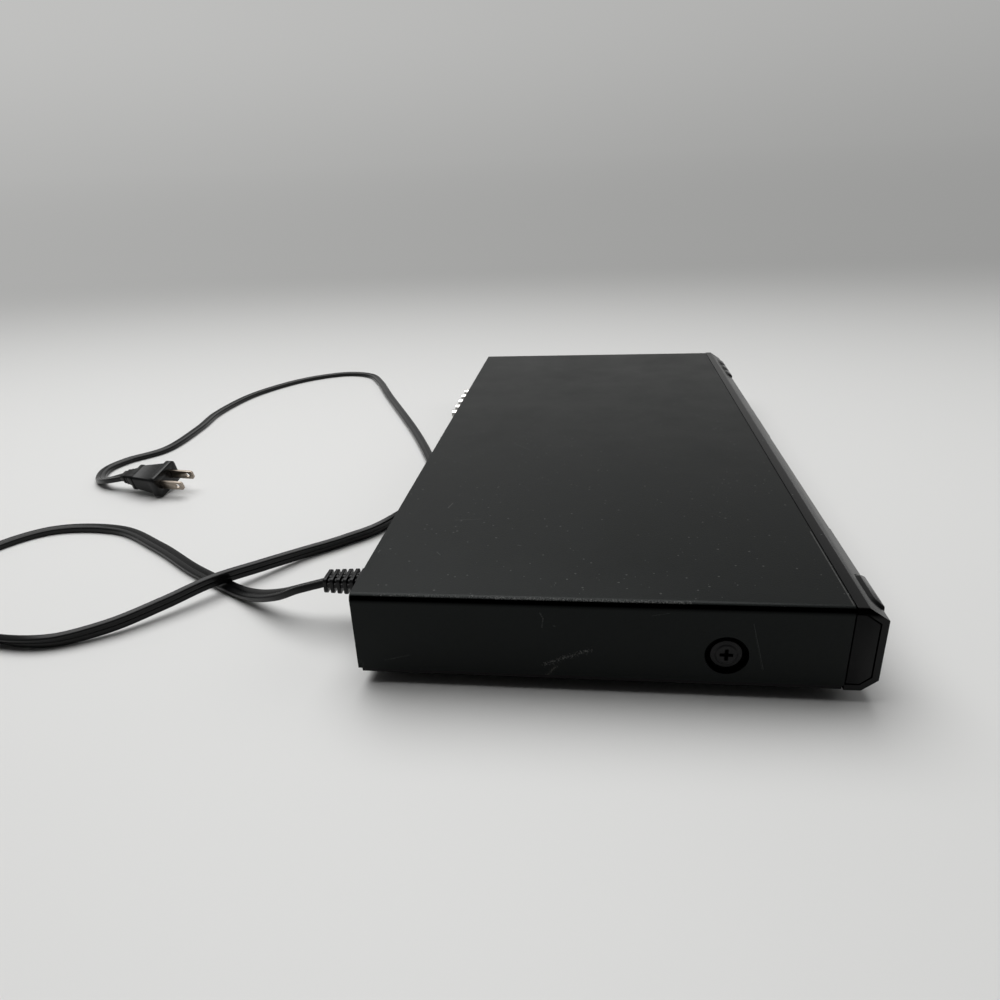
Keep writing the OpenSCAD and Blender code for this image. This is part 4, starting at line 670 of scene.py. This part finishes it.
class Workshop:
    """The CAD nodes with their slots and bodies, and the materials that are made for the slots."""

    def __init__(self, frame: dict) -> None:
        """Notes each node's slot and body.

        Args:
            frame: CAD frame.
        """
        record = frame["record"]
        self.nodes: dict[str, Object] = frame["nodes"]
        self.slots: dict[str, str] = {part["node"]: part["material_slot"] for part in record["subparts"]}
        self.bodies = {node: body for body, nodes in record["behaviour"]["bodies"].items() for node in nodes}
        self.made: dict[str, Material] = {}

    def material(self, slot: str) -> Material:
        """Gives the material of a slot, made on first use.

        Args:
            slot: material slot of the record.

        Returns:
            The material.
        """
        if slot not in self.made:
            self.made[slot] = FINISHES[slot].material(slot)
        return self.made[slot]

    def dress_nodes(self) -> None:
        """Gives each CAD node the material of its slot."""
        for name, node in self.nodes.items():
            for place in node.material_slots:
                place.material = self.material(self.slots[name])

    def settle(self, piece: Object, node: str, slot: str = "") -> Object:
        """Dresses a finished piece and lets it ride with a CAD node, which it stands for if no slot is given.

        Args:
            piece: finished object at the origin.
            node: CAD node.
            slot: material slot, if it isn't the node's own.

        Returns:
            The piece.
        """
        piece.data.materials.clear()
        piece.data.materials.append(self.material(slot or self.slots[node]))
        for polygon in piece.data.polygons:
            polygon.material_index = 0
        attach(piece, self.bodies[node])
        if not slot:
            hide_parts(node)
        return piece


# ---------- modelling helpers ----------


MERGE_WITHIN = 0.002 * MM
FLAT_WITHIN = math.radians(0.5)
TOUCH = 0.01 * MM


def deselect_all() -> None:
    """Leaves edit mode and deselects every object."""
    if bpy.context.object and bpy.context.object.mode != "OBJECT":
        bpy.ops.object.mode_set(mode="OBJECT")
    bpy.ops.object.select_all(action="DESELECT")


def make_active(piece: Object) -> None:
    """Selects one object alone and makes it active.

    Args:
        piece: object to select.
    """
    deselect_all()
    piece.select_set(True)
    bpy.context.view_layer.objects.active = piece


@contextmanager
def edited(piece: Object) -> Iterator[None]:
    """Opens a piece in edit mode with all of it selected, and leaves edit mode afterwards.

    Args:
        piece: object to edit.

    Yields:
        Nothing.
    """
    make_active(piece)
    bpy.ops.object.mode_set(mode="EDIT")
    bpy.ops.mesh.select_all(action="SELECT")
    yield
    bpy.ops.object.mode_set(mode="OBJECT")


def link(name: str, data: bpy.types.ID) -> Object:
    """Puts a new object into the scene.

    Args:
        name: name of the object.
        data: its mesh, lamp or camera.

    Returns:
        The object.
    """
    made = bpy.data.objects.new(name, data)
    bpy.context.scene.collection.objects.link(made)
    return made


def apply_place(piece: Object) -> None:
    """Moves an object's place, turn and scale into its mesh."""
    make_active(piece)
    bpy.ops.object.transform_apply(location=True, rotation=True, scale=True)


def round_edges(piece: Object, width: float, segments: int = 2, angle: float = 32.0) -> None:
    """Rounds a piece's sharp edges and shades it smooth across them.

    Args:
        piece: object whose mesh is changed.
        width: width of the rounding in metres.
        segments: steps across the rounding.
        angle: edges sharper than this, in degrees, are rounded.
    """
    bevel = piece.modifiers.new("edge rounding", "BEVEL")
    bevel.width = width
    bevel.segments = segments
    bevel.limit_method = "ANGLE"
    bevel.angle_limit = math.radians(angle)
    bevel.miter_outer = "MITER_ARC"
    make_active(piece)
    bpy.ops.object.modifier_apply(modifier=bevel.name)
    bpy.ops.object.shade_smooth_by_angle(angle=math.radians(angle))


def copy_of_node(node: Object, name: str) -> Object:
    """Copies a CAD node's mesh, joins its loose triangles and merges flat ones.

    Args:
        node: CAD node.
        name: name of the copy.

    Returns:
        The copy, which rides on nothing yet.
    """
    copy = link(name, node.data.copy())
    make_active(copy)
    if copy.data.has_custom_normals:
        bpy.ops.mesh.customdata_custom_splitnormals_clear()
    with edited(copy):
        bpy.ops.mesh.remove_doubles(threshold=MERGE_WITHIN)
        bpy.ops.mesh.dissolve_limited(angle_limit=FLAT_WITHIN, use_dissolve_boundaries=False,
                                      delimit={"NORMAL"})
    return copy


# ---------- camera, floor and light ----------


@dataclass(frozen=True)
class Lamp:
    """A round soft lamp with its diameter, its power in watts and the point that it faces."""

    name: str
    place: Point
    aim: Point
    size: float
    power: float

    def hang(self) -> None:
        """Puts the lamp into the scene."""
        data = bpy.data.lights.new(self.name, "AREA")
        data.shape = "DISK"
        data.size = self.size
        data.energy = self.power
        lamp = link(self.name, data)
        lamp.location = self.place
        lamp.rotation_euler = (Vector(self.aim) - Vector(self.place)).to_track_quat("-Z", "Y").to_euler()


@dataclass(frozen=True)
class Studio:
    """Camera, floor and lamps.

    The camera's yaw, pitch and roll are in degrees. The backdrop's brightness is given by the height of the
    direction of sight, and the dark side, the light and the haze by ranges of direction, depth and radius.
    """

    camera_place: Point = (-0.4655, 0.00175, 0.1957)
    yaw: float = 7.92
    pitch: float = 23.52
    roll: float = -2.69
    focal_px: float = 742.9
    image_px: float = 1000.0
    sensor_mm: float = 36.0
    near_clip: float = 0.01
    floor_radius: float = 6.0
    floor_sides: int = 96
    floor_drop: float = 0.0002
    floor_colour: Colour = (0.72, 0.72, 0.71)
    floor_roughness: float = 0.55
    room_level: float = 0.30
    low_level: float = 0.05
    rise: Pair = (0.0, 0.7)
    dark_share: float = 0.08
    dark_reach: Pair = (0.05, -0.35)
    dark_side: Colour = (0.24, 0.24, 0.24)
    backdrop: tuple[Pair, ...] = ((-0.06, 0.37), (0.02, 0.38), (0.19, 0.53), (0.50, 0.36))
    backdrop_tint: Colour = (1.0, 1.0, 0.985)
    backdrop_lean: float = 0.24
    lean_middle: float = 0.12
    haze_depth: Pair = (-0.10, 1.35)
    haze_reach: Pair = (0.9, 2.4)
    lamps: tuple[Lamp, ...] = (
        Lamp("overhead softbox", (0.42, 0.35, 1.50), (0.05, 0.08, 0.0), 2.0, 30.0),
        Lamp("front fill", (0.35, -1.4, 1.1), (0.0, 0.0, 0.0), 1.2, 3.0))

    def build(self) -> None:
        """Builds everything that isn't part of the object."""
        self._camera()
        self._floor()
        for lamp in self.lamps:
            lamp.hang()
        self._world()
        bpy.context.scene.view_settings.view_transform = "Standard"

    def _camera(self) -> None:
        """Puts the camera at the viewing angle."""
        yaw, pitch, roll = (math.radians(a) for a in (self.yaw, self.pitch, self.roll))
        forward = Vector((math.cos(yaw) * math.cos(pitch), math.sin(yaw) * math.cos(pitch), -math.sin(pitch)))
        level = Vector((math.sin(yaw), -math.cos(yaw), 0.0))
        upright = level.cross(forward)
        right = level * math.cos(roll) + upright * math.sin(roll)
        up = upright * math.cos(roll) - level * math.sin(roll)
        data = bpy.data.cameras.new("viewpoint")
        data.sensor_width = self.sensor_mm
        data.lens = self.focal_px * self.sensor_mm / self.image_px
        data.clip_start = self.near_clip
        camera = link("viewpoint", data)
        axes = Matrix((right, up, -forward)).transposed()
        camera.matrix_world = Matrix.Translation(self.camera_place) @ axes.to_4x4()
        bpy.context.scene.camera = camera

    def _floor(self) -> None:
        """Lays a round pale floor that darkens to the backdrop's grey far away."""
        deselect_all()
        bpy.ops.mesh.primitive_circle_add(vertices=self.floor_sides, radius=self.floor_radius,
                                          fill_type="NGON", location=(0.0, 0.0, -self.floor_drop))
        floor = bpy.context.object
        floor.name = "studio_floor"
        apply_place(floor)
        made = bpy.data.materials.new("studio_floor")
        made.use_nodes = True
        graph = Graph(made.node_tree)
        shader = graph.tree.nodes["Principled BSDF"]
        graph.feed(shader.inputs["Roughness"], self.floor_roughness)
        graph.feed(shader.inputs["Base Color"], self.floor_colour)
        place = graph.node("TexCoord").outputs["Object"]
        sight = graph.vector("NORMALIZE", graph.vector("SUBTRACT", place, self.camera_place))
        glow = graph.node("Emission", self._backdrop(graph, sight))
        depth = graph.spread(graph.parts(place)["X"], *self.haze_depth, smooth=True)
        reach = graph.spread(graph.vector("LENGTH", place), *self.haze_reach, smooth=True)
        haze = graph.math("MULTIPLY", graph.math("MAXIMUM", depth, reach), self._seen(graph))
        mix = graph.node("MixShader", haze, shader.outputs[0], glow.outputs[0])
        graph.feed(graph.tree.nodes["Material Output"].inputs[0], mix.outputs[0])
        floor.data.materials.append(made)

    def _world(self) -> None:
        """Fills the room with soft light, and shows a grey backdrop to the camera."""
        world = bpy.data.worlds.new("studio room")
        world.use_nodes = True
        bpy.context.scene.world = world
        graph = Graph(world.node_tree)
        direction = graph.node("TexCoord").outputs["Generated"]
        ahead = graph.parts(direction)
        behind = graph.spread(ahead["X"], *self.dark_reach, smooth=True)
        unseen = graph.math("SUBTRACT", 1.0, graph.node("LightPath").outputs["Is Camera Ray"])
        backdrop = graph.over(self._backdrop(graph, direction), graph.math("MULTIPLY", unseen, behind),
                              self.dark_side)
        shown = graph.node("Background", backdrop)
        above = graph.spread(ahead["Z"], *self.rise, self.low_level, self.room_level)
        lit = graph.spread(ahead["X"], *self.dark_reach, 1.0, self.dark_share)
        room = graph.tree.nodes["Background"]
        graph.feed(room.inputs["Color"], WHITE)
        graph.feed(room.inputs["Strength"], graph.math("MULTIPLY", above, lit))
        mix = graph.node("MixShader", self._seen(graph), room.outputs[0], shown.outputs[0])
        graph.feed(graph.tree.nodes["World Output"].inputs[0], mix.outputs[0])

    def _backdrop(self, graph: Graph, direction: NodeSocket) -> NodeSocket:
        """Colours the backdrop by the direction of sight: a soft glow that fades upward and to the right.

        Args:
            graph: nodes to add to.
            direction: direction of sight.

        Returns:
            The colour.
        """
        ahead = graph.parts(direction)
        low, high = self.backdrop[0][0], self.backdrop[-1][0]
        ramp = graph.node("ValToRGB", graph.spread(ahead["Z"], low, high))
        ramp.color_ramp.interpolation = "B_SPLINE"
        stops = ramp.color_ramp.elements
        for level, _ in self.backdrop[1:-1]:
            stops.new((level - low) / (high - low))
        for stop, (_, value) in zip(stops, self.backdrop):
            stop.color = (*(value * c for c in self.backdrop_tint), 1.0)
        lean = graph.math("MULTIPLY_ADD", ahead["Y"], self.backdrop_lean,
                          1.0 - self.lean_middle * self.backdrop_lean)
        return graph.vector("SCALE", ramp.outputs["Color"], Scale=lean)

    def _seen(self, graph: Graph) -> NodeSocket:
        """Tells what the camera sees, straight, mirrored or through glass.

        Args:
            graph: nodes to add to.

        Returns:
            A number that is 1 for what is seen.
        """
        path = graph.node("LightPath").outputs
        first = graph.math("MAXIMUM", path["Is Camera Ray"], path["Is Glossy Ray"])
        return graph.math("MAXIMUM", first, path["Is Transmission Ray"])


# ---------- pieces with rounded edges ----------


@dataclass(frozen=True)
class Softened:
    """A CAD node that is shown by a copy with rounded edges.

    Attributes:
        node: the CAD node.
        width: width of the rounding.
        segments: steps across the rounding.
        taken_in: open joint that is left all round the outline, along Y and Z.
        joint: open joint that is left along the top of the rear face.
        joint_height: height above which that joint is open.
        angle: edges sharper than this, in degrees, are rounded.
    """

    node: str
    width: float
    segments: int = 2
    taken_in: float = 0.0
    joint: float = 0.0
    joint_height: float = 0.0402
    angle: float = 32.0

    def build(self, shop: Workshop) -> Object:
        """Makes the copy, which stands for the node.

        Args:
            shop: nodes and materials.

        Returns:
            The copy.
        """
        copy = copy_of_node(shop.nodes[self.node], f"{self.node}_finished")
        if self.taken_in:
            self._take_in(copy)
        if self.joint:
            self._open_joint(copy)
        round_edges(copy, self.width, self.segments, self.angle)
        return shop.settle(copy, self.node)

    def _take_in(self, piece: Object) -> None:
        """Draws the outline of a piece in along Y and Z, which leaves an open joint all round it.

        Args:
            piece: object whose mesh is changed.
        """
        spots = [v.co for v in piece.data.vertices]
        low = Vector(min(c[k] for c in spots) for k in range(3))
        high = Vector(max(c[k] for c in spots) for k in range(3))
        share = [1.0 - 2.0 * self.taken_in / (high[k] - low[k]) for k in range(3)]
        with edited(piece):
            bpy.ops.transform.resize(value=(1.0, share[1], share[2]), center_override=(low + high) / 2)

    def _open_joint(self, piece: Object) -> None:
        """Moves the top of a piece's rear face forward, which leaves an open joint behind it.

        Args:
            piece: object whose mesh is changed.
        """
        rear = max(v.co.y for v in piece.data.vertices)
        for vertex in piece.data.vertices:
            if vertex.co.y > rear - TOUCH and vertex.co.z > self.joint_height:
                vertex.co.y -= self.joint


# ---------- mains lead ----------


@dataclass
class MainsLead:
    """Flat twin lead with its strain relief and two-blade plug.

    Each route point has its place in millimetres and the degrees that the lead's width is turned from level.
    """

    width: float = 0.0070
    thickness: float = 0.0036
    corner: float = 0.0010
    corner_step: int = 18
    groove: float = 0.00045
    groove_width: float = 0.0013
    steps: int = 12
    smooth_angle: float = 50.0
    fittings: tuple[Softened, ...] = (Softened("strain_relief", 0.25 * MM), Softened("plug_body", 0.30 * MM),
                                      Softened("plug_blades", 0.12 * MM))
    exit: Point = (-0.168, 0.1265, 0.022)
    length: float = 1.467
    route_mm: tuple[tuple[float, float, float, float], ...] = (
        (-168, 126.5, 22, -15), (-168, 142, 17.5, -12), (-164.5, 156, 11.5, 8), (-156, 173, 5.5, 16),
        (-145, 191, 2.4, 16), (-126, 222, 2.2, 14), (-99, 259, 2, 8), (-76, 300, 1.8, 0), (-79, 345, 1.8, 0),
        (-114, 368, 1.8, 0), (-151, 358, 1.8, 0), (-179, 328, 2.2, 15), (-196, 292, 2.9, 45),
        (-199, 260, 3.4, 70), (-187, 235, 4.8, 78), (-168, 216, 6.8, 78), (-148, 200, 8.4, 78),
        (-127, 183, 6.4, 78), (-105, 165, 4, 75), (-88, 147, 3.4, 70), (-66, 129, 3.4, 70),
        (-12, 111, 2.5, 25), (24, 116, 1.8, 0), (110, 149, 1.8, 0), (225, 202, 1.8, 0), (281, 227, 1.8, 0),
        (311, 246, 1.8, 0),
        (320, 275, 1.8, 0), (304, 307, 1.8, 0), (275, 331, 1.8, 0), (231, 350, 1.8, 0), (175, 356, 1.8, 0),
        (128, 351, 1.8, 0), (75, 351, 1.8, 0), (48, 369, 1.8, 0), (27, 374, 1.8, 0), (7, 366, 2.2, 0),
        (-4, 352, 6, 0), (-7, 334.5, 10.4, -15))

    def build(self, shop: Workshop) -> list[Object]:
        """Args:
            shop: nodes and materials.

        Returns:
            The lead and what is on it.
        """
        fittings = [soft.build(shop) for soft in self.fittings]
        path, rolls = self.centre_line()
        lead = shop.settle(self._jacket(path, rolls), "power_cord")
        return [lead, *fittings]

    def centre_line(self) -> tuple[list[Vector], list[float]]:
        """Runs a smooth curve through the route points.

        Returns:
            The middle line, high enough to rest on the floor, and its roll in radians at each point.
        """
        points = [Vector((x * MM, y * MM, z * MM, math.radians(roll))) for x, y, z, roll in self.route_mm]
        last = len(points) - 1
        line: list[Vector] = []
        for number in range(last):
            before, here = points[max(number - 1, 0)], points[number]
            after, beyond = points[number + 1], points[min(number + 2, last)]
            for step in range(self.steps):
                t = step / self.steps
                line.append((2 * here + (after - before) * t
                             + (2 * before - 5 * here + 4 * after - beyond) * t ** 2
                             + (3 * here - before - 3 * after + beyond) * t ** 3) / 2)
        line.append(points[last])
        for point in line:
            point.z = max(point.z, self._half_rise(point.w))
        return [point.to_3d() for point in line], [point.w for point in line]

    def _half_rise(self, roll: float) -> float:
        """Returns half the height of the section when its width is turned by roll."""
        flat_x, flat_y = self.width / 2 - self.corner, self.thickness / 2 - self.corner
        return flat_x * abs(math.sin(roll)) + flat_y * abs(math.cos(roll)) + self.corner

    def _section(self) -> list[Pair]:
        """Draws the jacket's outline: flat faces, round corners and a shallow groove between the conductors.

        Returns:
            The corners of the outline.
        """
        flat_x, flat_y = self.width / 2 - self.corner, self.thickness / 2 - self.corner
        arc = [math.radians(a) for a in range(0, 91, self.corner_step)]
        right = [(flat_x + self.corner * math.sin(a), -flat_y - self.corner * math.cos(a)) for a in arc]
        right += [(flat_x + self.corner * math.cos(a), flat_y + self.corner * math.sin(a)) for a in arc]
        top = self.thickness / 2
        dip = [(self.groove_width / 2, top), (0.0, top - self.groove), (-self.groove_width / 2, top)]
        half = right + dip
        return half + [(-x, -y) for x, y in half]

    def _jacket(self, path: list[Vector], rolls: list[float]) -> Object:
        """Sweeps the section along the path.

        Args:
            path: middle line.
            rolls: turn of the section at each point of the path.

        Returns:
            The closed tube.
        """
        section = self._section()
        count = len(section)
        corners: list[Vector] = []
        for number, (point, roll) in enumerate(zip(path, rolls)):
            ahead = (path[min(number + 1, len(path) - 1)] - path[max(number - 1, 0)]).normalized()
            side = Vector((ahead.y, -ahead.x, 0.0)).normalized()
            up = side.cross(ahead)
            across = side * math.cos(roll) + up * math.sin(roll)
            over = up * math.cos(roll) - side * math.sin(roll)
            corners += [point + across * x + over * y for x, y in section]
        faces = [tuple(range(count))]
        for ring in range(len(path) - 1):
            a, b = ring * count, (ring + 1) * count
            faces += [(a + k, b + k, b + (k + 1) % count, a + (k + 1) % count) for k in range(count)]
        faces.append(tuple(reversed(range((len(path) - 1) * count, len(path) * count))))
        mesh = bpy.data.meshes.new("mains_lead")
        mesh.from_pydata([tuple(c) for c in corners], [], faces)
        lead = link("mains_lead", mesh)
        with edited(lead):
            bpy.ops.mesh.normals_make_consistent(inside=False)
        bpy.ops.object.shade_smooth_by_angle(angle=math.radians(self.smooth_angle))
        return lead


# ---------- casework ----------


SOFTENED = (
    Softened("front_bezel", 0.20 * MM, joint=0.40 * MM, angle=14.0),
    Softened("bezel_end_caps", 0.25 * MM, taken_in=0.30 * MM),
    Softened("tray_door", 0.22 * MM),
    *(Softened(f"{key}_button", 0.30 * MM, taken_in=0.02 * MM, angle=20.0)
      for key in ("power", "open", "play", "stop")),
    Softened("side_screws", 0.10 * MM),
    Softened("feet", 0.40 * MM),
    Softened("jack_block", 0.25 * MM),
    Softened("jack_barrels", 0.12 * MM),
    Softened("display_window", 0.15 * MM),
)


@dataclass
class Casework:
    """Outer pieces that are shown with rounded edges."""

    softened: tuple[Softened, ...] = SOFTENED

    def build(self, shop: Workshop) -> list[Object]:
        """Makes and returns the rounded copies."""
        return [soft.build(shop) for soft in self.softened]


@dataclass(frozen=True)
class Symbol:
    """A flat raised sign on a button's front face.

    Attributes:
        name: name of the piece.
        button: node that carries it, which is also its body.
        corners: corners of its outline, as (sideways, up) in millimetres from the middle of the sign.
    """

    name: str
    button: str
    corners: tuple[Pair, ...]


def round_sign(radius: float, start: float, end: float, wall: float, steps: int = 20
               ) -> tuple[Pair, ...]:
    """Draws a ring that is open from one angle to the other, in degrees.

    Args:
        radius: outer radius.
        start: first angle.
        end: last angle.
        wall: width of the ring.
        steps: sides of the ring's outer edge.

    Returns:
        The corners, out along the outer edge and back along the inner one.
    """
    turns = [math.radians(start + (end - start) * k / steps) for k in range(steps + 1)]
    outer = [(radius * math.cos(a), radius * math.sin(a)) for a in turns]
    inner = [((radius - wall) * math.cos(a), (radius - wall) * math.sin(a)) for a in reversed(turns)]
    return tuple(outer + inner)


SYMBOLS = (
    Symbol("sign_open_arrow", "open_button", ((-1.5, -0.2), (1.5, -0.2), (0.0, 1.5))),
    Symbol("sign_open_bar", "open_button", ((-1.5, -1.3), (1.5, -1.3), (1.5, -0.75), (-1.5, -0.75))),
    Symbol("sign_play", "play_button", ((-1.1, -1.4), (1.4, 0.0), (-1.1, 1.4))),
    Symbol("sign_stop", "stop_button", ((-1.2, -1.2), (1.2, -1.2), (1.2, 1.2), (-1.2, 1.2))),
    Symbol("sign_power_ring", "power_button", round_sign(1.5, 125.0, 415.0, 0.34)),
    Symbol("sign_power_bar", "power_button", ((-0.17, 0.2), (0.17, 0.2), (0.17, 1.75), (-0.17, 1.75))),
)


@dataclass
class ButtonSigns:
    """Stamped signs on the fronts of the buttons, each of which stands proud of its button."""

    height: float = 0.0308
    proud: float = 0.06 * MM
    depth: float = 0.20 * MM
    edge: float = 0.02 * MM
    edge_angle: float = 60.0
    slot: str = "nickel"
    symbols: tuple[Symbol, ...] = SYMBOLS

    def build(self, shop: Workshop) -> list[Object]:
        """Makes each sign and stands it on its button.

        Args:
            shop: nodes and materials.

        Returns:
            The signs.
        """
        made = []
        for symbol in self.symbols:
            low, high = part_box(symbol.button)
            face = Vector(((low[0] + high[0]) / 2, low[1] - self.proud, self.height))
            made.append(shop.settle(self._sign(symbol, face), symbol.button, self.slot))
        return made

    def _sign(self, symbol: Symbol, face: Vector) -> Object:
        """Extrudes the sign's outline back into the button.

        Args:
            symbol: sign to make.
            face: middle of the sign's front.

        Returns:
            The sign.
        """
        deselect_all()
        bpy.ops.mesh.primitive_circle_add(vertices=len(symbol.corners), radius=MM, fill_type="NOTHING",
                                          location=face)
        sign = bpy.context.object
        sign.name = symbol.name
        apply_place(sign)
        for vertex, (across, up) in zip(sign.data.vertices, symbol.corners):
            vertex.co = face + Vector((across * MM, 0.0, up * MM))
        with edited(sign):
            bpy.ops.mesh.edge_face_add()
            bpy.ops.mesh.extrude_region_move(TRANSFORM_OT_translate={"value": (0.0, self.depth, 0.0)})
            bpy.ops.mesh.select_all(action="SELECT")
            bpy.ops.mesh.normals_make_consistent(inside=False)
        round_edges(sign, self.edge, 1, self.edge_angle)
        return sign


def main() -> None:
    """Builds the player round the CAD frame and reports each piece."""
    logging.basicConfig(level=logging.INFO, format="%(message)s")
    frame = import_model()
    deselect_all()
    shop = Workshop(frame)
    Studio().build()
    pieces = MainsLead().build(shop)
    shop.dress_nodes()
    pieces += Casework().build(shop) + ButtonSigns().build(shop)
    for piece in pieces:
        LOG.info("%s finished, with %d faces", piece.name, len(piece.data.polygons))


if __name__ == "__main__":
    main()
